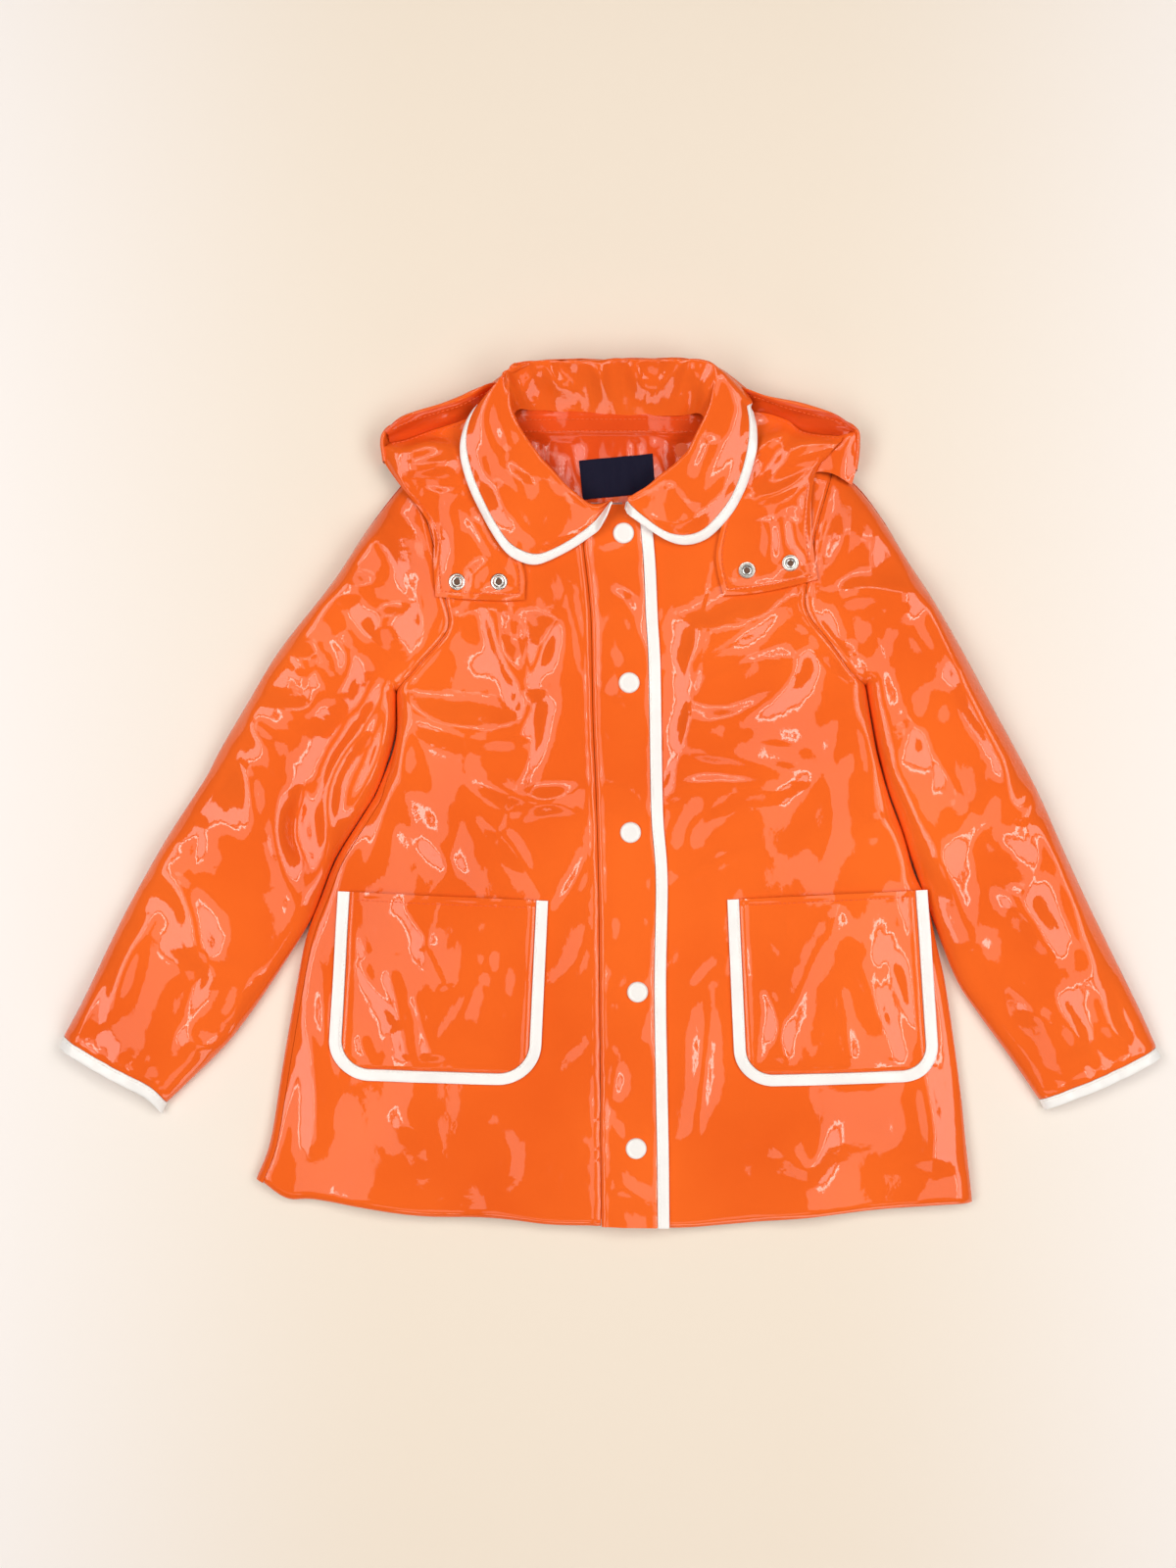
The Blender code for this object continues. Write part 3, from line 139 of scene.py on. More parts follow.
# Broad swells of the whole coat and its largest folds. Ridges stand up, and hollows have a
# negative height: columns x from, y from, x to, y to, width, height
FOLDS = [
    (-165, 150, -335, -150, 46, 9.0), (192, 150, 335, -155, 46, 9.0),
    (-85, 90, -60, -20, 52, 2.6), (95, 90, 105, -20, 56, 2.8), (-120, -120, -110, -250, 60, 2.2),
    (150, -120, 140, -250, 60, 2.4), (-78, 262, -72, 240, 34, 5.0), (76, 262, 70, 240, 34, 5.0),
    (-104, 112, -52, 62, 11, 2.4), (-52, 62, -86, 36, 10, 1.8), (-122, 52, -72, 0, 13, 2.0),
    (-58, 118, -40, 72, 10, 1.6), (-170, -44, -60, -60, 12, -1.4), (122, 96, 60, 64, 12, 2.4),
    (172, 60, 78, 28, 13, 2.4), (160, 20, 72, -8, 12, 1.8), (186, -20, 110, -52, 14, 1.8),
    (140, 150, 128, 96, 13, 2.0), (-180, -230, -96, -236, 14, 1.6), (86, -250, 190, -244, 15, 1.8),
    (-214, 92, -172, 44, 11, 2.6), (-258, 40, -196, -20, 12, 2.8), (-290, -30, -222, -78, 13, 2.4),
    (-330, -92, -262, -132, 12, 2.2), (-186, 150, -150, 104, 12, 2.4), (250, 84, 206, 30, 12, 2.6),
    (286, 20, 232, -48, 13, 2.8), (318, -52, 262, -104, 13, 2.4), (350, -120, 300, -158, 12, 2.0),
    (214, 142, 178, 96, 12, 2.2),
]
# Soft folds of the collar's fall, in the same columns
COLLAR_FOLDS = [
    (-88, 262, -62, 214, 9, 1.8), (-100, 236, -70, 190, 9, 1.4),
    (-78, 212, -52, 176, 6, 1.2), (-70, 234, -56, 224, 5, -1.4), (92, 270, 68, 226, 9, 1.6),
    (100, 240, 74, 196, 9, 1.5), (82, 214, 52, 186, 6, 1.3), (60, 250, 92, 238, 7, 1.0),
    (44, 214, 66, 188, 6, 1.0),
]
# Soft folds of each pocket's cloth, in the same columns
POCKET_FOLDS = {
    "right": [
        (-184, -84, -176, -112, 6, 1.6), (-146, -84, -132, -104, 7, 1.8),
        (-132, -110, -118, -134, 7, 2.0), (-176, -128, -152, -160, 8, 2.0),
        (-156, -134, -142, -196, 6, 1.8), (-138, -150, -128, -188, 5, 1.4),
        (-122, -186, -72, -92, 9, 2.2), (-60, -86, -58, -140, 7, 1.4), (-96, -98, -84, -124, 7, 1.0),
        (-178, -178, -170, -196, 5, 1.2), (-100, -176, -70, -190, 8, 1.0),
    ],
    "left": [
        (110, -196, 158, -92, 9, 2.2), (114, -146, 128, -198, 6, 1.6),
        (164, -146, 172, -186, 6, 1.6), (180, -124, 204, -196, 9, 2.0), (200, -128, 222, -174, 7, 1.8),
        (206, -78, 226, -124, 7, 1.8), (128, -86, 122, -120, 8, 1.2),
        (158, -96, 186, -110, 9, 1.4),
    ],
}

# Creases read from the photograph: widths on the left and right side as seen along the crease,
# height in millimetres, then x and y of points along it in the photograph's pixels
CREASES = [
    # chest and body, photo left
    (14, 12, 4.8, 410, 712, 440, 738, 480, 746, 526, 754), (14, 8, 3.6, 416, 702, 406, 760, 418, 812),
    (9, 6, 3.4, 496, 612, 512, 662, 532, 703), (8, 12, 4.2, 566, 630, 548, 672, 533, 703),
    (8, 8, 2.2, 532, 706, 536, 730, 528, 756), (9, 7, 2.8, 478, 793, 530, 812, 606, 828),
    (8, 6, 1.8, 520, 842, 560, 818, 606, 800), (6, 8, 2.0, 484, 826, 520, 860, 550, 910),
    (6, 5, 1.4, 604, 866, 588, 900, 566, 930), (6, 8, 1.6, 404, 842, 440, 862, 474, 896),
    (8, 6, 1.8, 460, 632, 500, 622, 520, 634), (7, 6, 1.8, 372, 890, 392, 830, 410, 770),
    (6, 5, 1.2, 575, 590, 590, 640, 600, 700), (9, 36, 3.4, 540, 700, 543, 752, 526, 804),
    (10, 30, 2.0, 470, 800, 462, 850, 452, 900),
    # chest and body, photo right
    (16, 12, 5.2, 690, 678, 760, 642, 826, 596), (16, 12, 5.4, 676, 750, 755, 730, 808, 692, 830, 630),
    (8, 8, 2.0, 690, 708, 730, 692, 776, 672), (9, 7, 2.6, 674, 778, 735, 770, 826, 796),
    (7, 10, 2.4, 674, 808, 735, 799, 808, 808), (6, 5, 1.2, 740, 757, 786, 752, 834, 762),
    (9, 7, 1.6, 700, 872, 706, 842, 740, 814), (6, 6, 1.2, 684, 906, 724, 884, 762, 868),
    (8, 7, 1.8, 680, 628, 722, 640, 760, 622), (36, 8, 3.2, 716, 628, 708, 668, 702, 706),
    (32, 8, 2.8, 708, 716, 702, 744, 692, 768), (32, 7, 2.4, 694, 772, 690, 796, 684, 820),
    (8, 7, 2.4, 880, 850, 904, 842, 924, 872, 926, 904), (10, 9, 1.2, 838, 760, 846, 830, 842, 900),
    (8, 9, 1.6, 690, 1020, 720, 1000, 748, 976), (9, 7, 2.0, 706, 1180, 716, 1100, 722, 1010),
    (10, 9, 2.2, 792, 1200, 802, 1180, 828, 1190, 846, 1150),
    (9, 7, 2.4, 950, 1200, 952, 1150, 940, 1080), (9, 8, 1.8, 904, 1188, 950, 1180, 984, 1190),
    (14, 10, 1.6, 800, 1110, 870, 1098, 930, 1100),
    # body below the pockets and beside the placket, photo left
    (8, 7, 2.2, 310, 1040, 322, 1110, 318, 1190), (5, 6, 1.6, 330, 1000, 334, 1060, 340, 1110),
    (10, 12, 1.6, 400, 1130, 430, 1160, 440, 1200), (8, 8, 1.2, 500, 1150, 520, 1180, 506, 1220),
    (8, 7, 1.4, 560, 1010, 590, 980, 602, 940), (8, 8, 1.2, 556, 1100, 580, 1070, 604, 1060),
    (9, 8, 1.2, 560, 1230, 570, 1190, 600, 1170),
    # placket
    (6, 5, 1.2, 612, 800, 636, 806, 652, 820), (6, 5, 1.0, 612, 700, 622, 716, 640, 722),
    (6, 5, 1.2, 618, 912, 622, 960, 616, 1010), (7, 6, 1.4, 620, 1050, 626, 1100, 614, 1140),
    (6, 6, 1.0, 622, 1200, 640, 1214, 660, 1226), (6, 6, 1.2, 616, 590, 640, 620, 656, 660),
    # sleeve, photo left
    (16, 14, 4.6, 340, 572, 362, 560, 388, 548, 406, 524),
    (16, 10, 4.0, 308, 628, 330, 612, 360, 604, 412, 592), (8, 12, 2.6, 372, 540, 394, 566, 408, 592),
    (12, 14, 4.4, 277, 655, 298, 672, 322, 682), (13, 15, 4.8, 247, 708, 278, 724, 314, 727, 330, 706),
    (10, 8, 2.8, 250, 712, 262, 748, 292, 768), (12, 14, 4.2, 380, 652, 398, 634, 430, 629),
    (14, 12, -3.8, 386, 690, 352, 738, 322, 800),
    (7, 6, 4.2, 394, 702, 372, 742, 342, 786, 334, 840, 338, 876),
    (6, 5, 3.0, 402, 712, 388, 770, 360, 826), (9, 8, 2.8, 342, 650, 356, 672, 352, 712),
    (10, 12, 3.8, 222, 774, 250, 786, 262, 830, 256, 858), (5, 4, -3.4, 310, 800, 300, 850, 314, 884),
    (9, 7, 3.4, 286, 800, 284, 860, 300, 912), (14, 12, 4.6, 142, 874, 170, 862, 202, 868),
    (11, 15, 4.8, 142, 876, 186, 908, 206, 960, 222, 1010), (10, 9, -2.6, 232, 962, 204, 996, 176, 1066),
    (8, 7, 3.0, 160, 930, 132, 978, 112, 1040), (9, 8, 2.6, 254, 1000, 240, 1040, 256, 1066),
    (7, 6, 2.2, 186, 1050, 208, 1066, 238, 1076), (8, 6, 2.2, 100, 1000, 88, 1030, 76, 1058),
    # sleeve, photo right
    (10, 14, 5.0, 830, 616, 856, 608, 890, 604, 946, 612), (12, 12, 3.6, 866, 500, 862, 548, 842, 600),
    (10, 12, 2.4, 900, 522, 888, 560, 884, 596), (8, 9, 3.6, 828, 622, 846, 660, 878, 690),
    (9, 7, 4.6, 948, 616, 968, 668, 994, 724, 1022, 780, 1036, 832),
    (7, 6, 3.0, 1036, 834, 1050, 826, 1060, 806),
    (16, 12, -3.6, 908, 682, 922, 712, 950, 762, 1000, 838),
    (16, 10, 4.6, 896, 770, 920, 800, 960, 880, 998, 972), (6, 6, 3.0, 884, 730, 894, 762, 904, 800),
    (8, 8, 2.0, 926, 640, 946, 664, 964, 682), (8, 9, 3.8, 1062, 846, 1084, 890, 1104, 950, 1120, 1000),
    (10, 10, 3.2, 1000, 850, 1030, 872, 1058, 876), (12, 10, 3.4, 1008, 900, 1044, 928, 1076, 980),
    (13, 11, 3.4, 1018, 990, 1058, 1036, 1082, 1086), (8, 8, 2.6, 1068, 1010, 1092, 1048, 1104, 1076),
    (7, 7, 2.2, 1120, 1010, 1132, 1044, 1150, 1070),
]
# Creases of the hood's wings and of the collar's stand at the back, in the same columns
HOOD_CREASES = [
    (5, 4, 2.6, 764, 514, 802, 500, 836, 474),
    (7, 6, -3.0, 766, 500, 786, 470, 808, 446), (5, 5, 2.0, 762, 470, 790, 446, 806, 432),
    (6, 5, 1.6, 780, 528, 786, 552, 784, 574), (5, 5, 2.0, 806, 518, 810, 548, 822, 576),
    (4, 6, 1.8, 836, 486, 822, 520, 826, 560), (7, 6, 2.4, 410, 476, 432, 480, 466, 470),
    (5, 5, 2.4, 400, 462, 412, 500, 426, 520), (5, 6, 1.8, 430, 500, 452, 506, 474, 500),
    (6, 5, 1.6, 446, 520, 448, 556, 440, 586), (6, 5, 1.4, 500, 570, 480, 592, 478, 610),
    (6, 5, 1.4, 476, 520, 492, 546, 508, 570),
]
STAND_CREASES = [
    (3, 4, 2.6, 512, 378, 521, 394, 531, 406),
    (4, 3, 2.2, 531, 406, 541, 394, 552, 378), (4, 5, 2.6, 554, 374, 566, 392, 588, 402),
    (5, 4, 2.2, 600, 372, 611, 388, 618, 406), (5, 4, 2.6, 640, 374, 650, 392, 668, 404),
    (4, 5, 2.2, 694, 372, 680, 392, 666, 405), (4, 4, 2.2, 702, 376, 714, 396, 709, 412),
    (4, 3, 2.2, 730, 374, 720, 392, 716, 410),
]

# Patch pockets: columns corner top outer, top inner, bottom inner, bottom outer, corner radius
POCKETS = {
    "right": [(-194, -71), (-44, -78), (-50, -210), (-202, -206), 30],
    "left": [(227, -70), (84, -77), (90, -211), (237, -207), 27],
}
POCKET_SWELL = 2.2

# White snap caps down the placket and metal snaps on the hood tabs: columns x, y
SNAP_CAPS = [(10, 185), (14, 78), (15, -29), (20, -143), (19, -255)]
HOOD_SNAPS = {"right": [(-109, 150), (-79, 150)], "left": [(98, 158), (129, 163)]}

# Collar from the right leaf's front end, round the back, to the left leaf's front end.
# Columns: seam x, y, then roll x, y, z, then outer edge x, y, z. The seam's height is the cloth's
COLLAR = [
    (3, 209, 1, 207, 23, 4, 199, 21.5), (-13, 206, -13, 205, 23, -10, 184, 20),
    (-26, 212, -25, 215, 24, -27, 172, 20), (-35, 218, -33, 222, 25, -43, 164, 20),
    (-43, 226, -40, 230, 26, -54, 161, 20), (-50, 234, -47, 238, 27, -65, 164, 20),
    (-57, 242, -54, 247, 28, -75, 171, 20.5), (-62, 250, -60, 255, 29, -87, 188, 21),
    (-66, 259, -65, 264, 30, -97, 207, 22), (-68, 266, -69, 273, 32, -103, 222, 23),
    (-67, 271, -71, 283, 34, -107, 239, 24), (-63, 273, -72, 292, 36, -106, 253, 25),
    (-57, 273, -70, 300, 37, -101, 266, 25), (-48, 273, -60, 304.5, 38, -93, 278, 20),
    (-36, 272, -42, 305, 38, -78, 296, 13), (-18, 271, -22, 305, 38, -44, 304, 8),
    (2, 270, 0, 305.5, 38, -12, 305, 7), (18, 269, 20, 306, 38, 20, 305, 7),
    (35, 269, 42, 306, 38, 50, 305, 8), (48, 269, 62, 306, 38, 78, 300, 13),
    (57, 270, 73, 302, 37, 94, 288, 20), (63, 270, 75, 295, 36, 101, 278, 25),
    (67, 267, 73, 286, 34, 105, 265, 25), (68, 261, 70, 276, 32, 106, 252, 24),
    (65, 253, 65, 265, 30, 104, 236, 23), (61, 246, 60, 255, 29, 99, 219, 22),
    (56, 239, 55, 244, 28, 91, 202, 21), (49, 232, 48, 237, 27, 79, 187, 20),
    (42, 226, 41, 231, 26, 68, 178, 19), (35, 220, 34, 226, 25, 55, 175, 19),
    (28, 214, 27, 220, 24, 42, 178, 19), (22, 212, 20, 215, 23, 26, 188, 20),
    (17, 212, 13.5, 210, 23, 11, 198.5, 21.5),
]

# Hood walls through rows of points, each row from the neck side outwards: columns x, y, z.
# In the tab rows z is the height above the cloth below
HOOD_SIDE = {
    "right": [
        [(-99, 268, 12), (-114, 263, 11), (-130, 258, 11), (-145, 252, 13), (-157, 249, 15)],
        [(-97, 256, 14.5), (-112, 254, 15), (-129, 253, 17), (-144, 249, 18), (-159, 247, 17.5)],
        [(-95, 244, 17), (-110, 245, 19), (-127, 247, 23), (-145, 243, 23), (-161, 245, 18)],
        [(-91, 232, 18), (-107, 233, 19), (-125, 235, 22), (-143, 234, 22), (-161, 236, 16)],
    ],
    "left": [
        [(101, 272, 12), (112, 271, 12), (127, 266, 12), (140, 257, 15), (166, 253, 20)],
        [(101, 262, 14), (112, 261, 14), (127, 259, 15), (140, 254, 19), (165, 250, 21)],
        [(99, 248, 15), (111, 251, 17), (124, 252, 19), (139, 248, 23), (161, 246, 22)],
        [(96, 236, 16), (107, 238, 19), (121, 243, 23), (137, 240, 23), (156, 240, 20)],
    ],
}
HOOD_TAB = {
    "right": [
        [(-85, 218, 2.6), (-103, 218, 3), (-120, 218, 4.5), (-135, 217, 6), (-149, 218, 5)],
        [(-78, 200, 1.9), (-95, 200, 2.1), (-110, 200, 2.3), (-123, 200, 2.8), (-135, 201, 2.4)],
        [(-70, 180, 1.5), (-84, 180, 1.5), (-98, 181, 1.5), (-112, 182, 1.5), (-126, 184, 1.5)],
        [(-61, 158, 1.5), (-77, 159, 1.5), (-93, 160, 1.5), (-110, 161, 1.5), (-125.5, 162, 1.5)],
        [(-60.5, 137, 1.5), (-76, 136.5, 1.5), (-92, 137, 1.5), (-108, 138, 1.5), (-124, 139, 1.5)],
    ],
    "left": [
        [(92, 222, 3), (104, 224, 5), (117, 229, 7), (132, 230, 6), (148, 230, 4)],
        [(85, 204, 1.5), (99, 205, 2), (114, 208, 2.5), (129, 210, 2.5), (144, 211, 2.4)],
        [(79, 186, 1.5), (95, 187, 1.5), (111, 188, 1.5), (127, 190, 1.5), (144, 191, 1.5)],
        [(76, 165, 1.5), (93, 166, 1.5), (110, 168, 1.5), (128, 170, 1.5), (145.5, 171, 1.5)],
        [(81, 140, 1.5), (98, 141, 1.5), (115, 143.5, 1.5), (131, 147, 1.5), (148, 151, 1.5)],
    ],
}
HOOD_BAND = {
    "right": [
        [(-76, 294, 1), (-88, 289, 1), (-106, 281, 0.6), (-128, 273.5, 0.3), (-146, 267.5, 0.3),
         (-159, 258, 0.3)],
        [(-76, 294, 10), (-88, 289.5, 14), (-106, 281.5, 14), (-128, 274, 13), (-147, 268, 12),
         (-160.5, 258, 10)],
        [(-76, 293, 19), (-88, 289, 26), (-106, 280.5, 27), (-128, 273, 26), (-146.5, 267, 24),
         (-160.5, 257, 21)],
        [(-79, 290, 18), (-91, 285, 25), (-107, 276, 26), (-128, 269, 25), (-145, 263.5, 23),
         (-158, 254.5, 20.5)],
        [(-84, 283, 13), (-96, 276, 17), (-110, 270, 18), (-128, 264, 17), (-144, 258.5, 17),
         (-157.5, 252.5, 17)],
        [(-88, 274, 8), (-98, 266.4, 8.4), (-112, 261.4, 7.2), (-128.5, 256.4, 7.2), (-144, 250.6, 9.2),
         (-157, 247.4, 12.0)],
    ],
    "left": [
        [(86, 292, 1), (99, 286, 1), (116, 280, 0.6), (140, 274.5, 0.3), (160, 268, 0.3),
         (174, 259, 0.3)],
        [(86, 292, 10), (99, 286.5, 14), (117, 280.5, 14), (141, 275, 13), (161, 269, 12),
         (175.5, 259, 11)],
        [(86, 291, 17), (98, 286, 25), (116, 280, 27), (140, 274.5, 26), (160.5, 268, 25),
         (175.5, 258, 22)],
        [(89, 288, 17), (101, 283, 25), (117, 276, 26), (140, 270.5, 25), (158, 264.5, 24),
         (172.5, 257, 21.5)],
        [(92, 284, 12), (103, 279, 17), (116, 275, 18), (135, 267, 18), (152, 261, 19.5),
         (170.5, 256.3, 20)],
        [(94, 276, 8), (102, 270.4, 8.4), (112, 269.2, 8.2), (127, 264.2, 8.2), (140, 255.2, 11.2),
         (166.5, 251.8, 15.2)],
    ],
}
HOOD_HEM_LEFT = [
    [(158, 256, 12.5), (162, 257, 14.5), (169.5, 258.5, 16), (175, 258, 16)],
    [(160.5, 250.6, 16.6), (165.4, 252.6, 18.3), (171, 254, 19.4), (176, 255, 18.6)],
    [(156.2, 242.4, 17.6), (161.2, 244.2, 19.4), (169, 243, 20), (176.5, 242, 17)],
    [(150.4, 236.4, 15.8), (155.4, 238.2, 17.6), (166, 235, 19.2), (176, 231, 16.5)],
    [(144.2, 226.8, 14.1), (149.2, 228.6, 15.9), (160, 226.5, 17.6), (173, 219, 16)],
]
# Outer wall of the hood round its corners: columns x, y, height of its rim
HOOD_CORNERS = {
    "right": [(-152, 263.4, 22.6), (-158.6, 260, 21.6), (-162.6, 255, 20.4), (-163.6, 249, 19.6),
              (-163.0, 243, 19), (-162, 236, 17)],
    "left": [(166, 265.2, 23), (173.6, 261.4, 22.6), (178, 256.4, 21.4), (178.6, 249, 19.8),
             (178.2, 240, 18.4), (177, 230, 16.6)],
}
HOOD_CENTRE = [(-86, 292.2), (-74, 300.4), (-60, 306.0), (-36, 307.0), (-10, 307.4), (27, 307.6),
               (60, 307.2), (76, 303.6), (87, 297.4), (98, 289.0)]
HOOD_CENTRE_TOP = 29.0
# Labels on the inside of the back: corners from top left, round to bottom left
NECK_LABEL = [(-22, 238), (31, 243), (33, 215), (-19, 210)]
SIZE_LABEL = [(-14, 208), (9, 208), (9, 196), (-14, 196)]

# ---------------------------------------------------------------- curves and surfaces

def even(count):
    """Shares from 0 to 1 in even steps."""
    return np.linspace(0, 1, count)


def to_end(share):
    """What is left of a share to the nearer end of its range."""
    return np.minimum(share, 1 - share)


def mix(a, b, share):
    return a * (1 - share) + b * share


def ease(t):
    t = np.clip(t, 0, 1)
    return t * t * (3 - 2 * t)


def quarter(t):
    """Rises from 0 to 1 like a quarter of a circle."""
    return np.sqrt(1 - (1 - np.clip(t, 0, 1)) ** 2)


def hump(where, middle, width):
    """Bell-shaped rise of height 1."""
    return np.exp(-((where - middle) / width) ** 2)


def flat_top(where, middle, width):
    """Rise of height 1 with a broad top and steep sides."""
    return np.sqrt(np.clip(1 - ((where - middle) / width) ** 4, 0, 1))


def unit(vectors):
    return vectors / norm(vectors, axis=-1, keepdims=True)


def plan(points):
    """Columns x and y of points."""
    return points[..., 0], points[..., 1]


def lengths(path):
    """How far each point of a path lies along it."""
    return np.concatenate([[0], np.cumsum(norm(np.diff(path, axis=0), axis=1))])


def smooth(points, samples=160):
    """Dense Catmull-Rom curve through points, any number of columns."""
    points = np.asarray(points, float)
    if len(points) == 2:
        return mix(points[0], points[1], even(samples)[:, None])
    padded = np.vstack([2 * points[0] - points[1], points, 2 * points[-1] - points[-2]])
    t = np.linspace(0, len(points) - 1, samples)
    k = np.minimum(t.astype(int), len(points) - 2)
    f = (t - k)[:, None]
    a, b, c, d = (padded[k + step] for step in range(4))
    return 0.5 * (2 * b + (c - a) * f + (2 * a - 5 * b + 4 * c - d) * f ** 2
                  + (3 * b - 3 * c + d - a) * f ** 3)


def at(path, share, length=None):
    """Points of a dense path at shares of its length, from 0 to 1."""
    length = lengths(path) if length is None else length
    where = np.asarray(share, float) * length[-1]
    return np.stack([np.interp(where, length, column) for column in path.T], -1)


def chain(paths, shares, t):
    """Points on paths set end to end, each of which takes its share of t."""
    result, start = at(paths[0], np.clip(t / shares[0], 0, 1)), shares[0]
    for path, share in zip(paths[1:], shares[1:]):
        here = at(path, np.clip((t - start) / share, 0, 1))
        result = np.where((t > start)[..., None], here, result)
        start += share
    return result


def coons(bottom, top, left, right, u, v):
    """Four-sided patch: functions of u along bottom and top, and of v up left and right."""
    u3, v3 = u[..., None], v[..., None]
    zero, one = np.zeros_like(u), np.ones_like(u)
    corners = mix(mix(bottom(zero), bottom(one), u3), mix(top(zero), top(one), u3), v3)
    return mix(bottom(u), top(u), v3) + mix(left(v), right(v), u3) - corners


def flat_patch(corners, s, t):
    """Points between four corners that go round, at shares s across and t down."""
    s, t = s[..., None], t[..., None]
    return mix(mix(corners[0], corners[1], s), mix(corners[3], corners[2], s), t)


def loft(rows, row_count, column_count):
    """Smooth grid through rows of points."""
    across = np.array([at(smooth(row), even(column_count)) for row in rows])
    return np.stack([at(smooth(across[:, k]), even(row_count)) for k in range(column_count)], 1)


def moved_in(path, amounts):
    """A side line moved towards the middle of the coat, by an amount at each point."""
    step = unit(np.gradient(path, axis=0))
    normal = np.column_stack([-step[:, 1], step[:, 0]])
    normal *= -np.sign(normal[:, 0].mean()) * np.sign(path[:, 0].mean())
    return path + normal * np.asarray(amounts)[:, None]


def between(table, start, end):
    """Dense path from start to end, through the rows of the table that lie between them in x."""
    inside = [p for p in table if min(start[0], end[0]) + 3 < p[0] < max(start[0], end[0]) - 3]
    return smooth([start] + inside[::1 if start[0] < end[0] else -1] + [end])


def distance(x, y, path):
    """Least distance in plan from each point to a dense path."""
    flat = np.stack([np.ravel(x), np.ravel(y)], 1)
    best = np.full(len(flat), 1e9)
    for a, b in zip(path[:-1:3], path[3::3]):
        t = np.clip(((flat - a) @ (b - a)) / ((b - a) @ (b - a)), 0, 1)
        best = np.minimum(best, norm(flat - a - t[:, None] * (b - a), axis=1))
    return best.reshape(np.shape(x))


PATH = {name: smooth(points) for name, points in OUTLINES.items()}


def sleeve_inner(side):
    """Inner edge of a sleeve: along the body's side down to where it leaves it, then free."""
    line = PATH["side_" + side]
    line = moved_in(line, -SLEEVE_CLEAR * (0.5 + 0.5 * ease(np.arange(len(line)) / 10)))
    return smooth(np.vstack([line[line[:, 1] > LEAVES_BODY[side]][::12], FREE[side]]))


def side_seam(side, wrap, clear):
    """Line of a side seam, from the underarm down, and its clearance towards the middle."""
    line = PATH["side_" + side]
    return moved_in(line, wrap * ease(np.arange(len(line)) / 40) + clear)


def front_armhole(side):
    """Line of a front's armhole, from the side seam's top to the shoulder."""
    return np.vstack([side_seam(side, WRAP[side], GAP / 2)[:1], PATH["armhole_" + side][4:]])


# ---------------------------------------------------------------- folds of the shown cloth

GRADIENTS = np.random.default_rng(11).uniform(0, 2 * np.pi, (64, 64))


def noise(x, y, size, shift=0.0):
    """Smooth noise between about -1 and 1, with lumps of the given size."""
    u, v = x / size + shift, y / size + 1.7 * shift
    i, j = np.floor(u).astype(int), np.floor(v).astype(int)
    fu, fv = u - i, v - j
    su, sv = (f ** 3 * (f * (6 * f - 15) + 10) for f in (fu, fv))

    def corner(a, b):
        turn = GRADIENTS[(i + a) % 64, (j + b) % 64]
        return np.cos(turn) * (fu - a) + np.sin(turn) * (fv - b)

    return 1.5 * mix(mix(corner(0, 0), corner(1, 0), su), mix(corner(0, 1), corner(1, 1), su), sv)


def stretched(x, y, turn, wide, long, shift):
    """Noise drawn out into folds of the given width and length, turned from the vertical."""
    across = x * np.cos(turn) + y * np.sin(turn)
    along = y * np.cos(turn) - x * np.sin(turn)
    return noise(across, along * wide / long, wide, shift)


def radiating(x, y, middle, towards, shift):
    """Folds that spread from an armpit across the body; towards is 1 where they run to +X."""
    dx, dy = towards * (x - middle[0]), y - middle[1]
    reach = np.hypot(dx, dy)
    fan = noise(88 * np.arctan2(dy, dx), 0.34 * reach, 33, shift)
    return fan * ease((reach - 12) / 60) * hump(reach, 0, 150) * ease((dx + 20) / 40)


def crumple(x, y):
    """Undulation of stiff coated cloth: long swells, folds from the armpits, and pinched crests."""
    wx, wy = x + 14 * noise(x, y, 64, 3.1), y + 14 * noise(x, y, 64, 9.7)
    body = 4.2 * stretched(wx, wy, 0.06, 70, 140, 0.0) + 1.2 * stretched(wx, wy, -0.15, 36, 78, 5.3)
    for side, towards, shift in (("right", 1, 2.4), ("left", -1, 6.8)):
        body = body + 3.4 * radiating(wx, wy, OUTLINES["side_" + side][0], towards, shift)
    lean = np.where(x < 0, -0.51, 0.44)
    arm = 3.0 * stretched(wx, wy, lean, 60, 116, 1.3) + 1.2 * stretched(wx, wy, lean + 0.6, 36, 72, 4.9)
    on_arm = ease((np.abs(x - 8) - 150 - 0.2 * (80 - y)) / 50)
    crest = np.sqrt(noise(wx, wy, 50, 1.7) ** 2 + 0.002)
    pinched = 0.45 * np.exp(-crest * 6) * ease((noise(x, y, 60, 7.7) + 0.25) / 0.3)
    fine = 0.10 * noise(x, y, 12, 8.2) + 0.03 * noise(x, y, 5, 2.9)
    chest = ease((y + 80) / 80) * (1 - on_arm)
    return mix(body, arm, on_arm) * (1 - 0.42 * chest) + pinched * (1 - 0.6 * chest) + fine


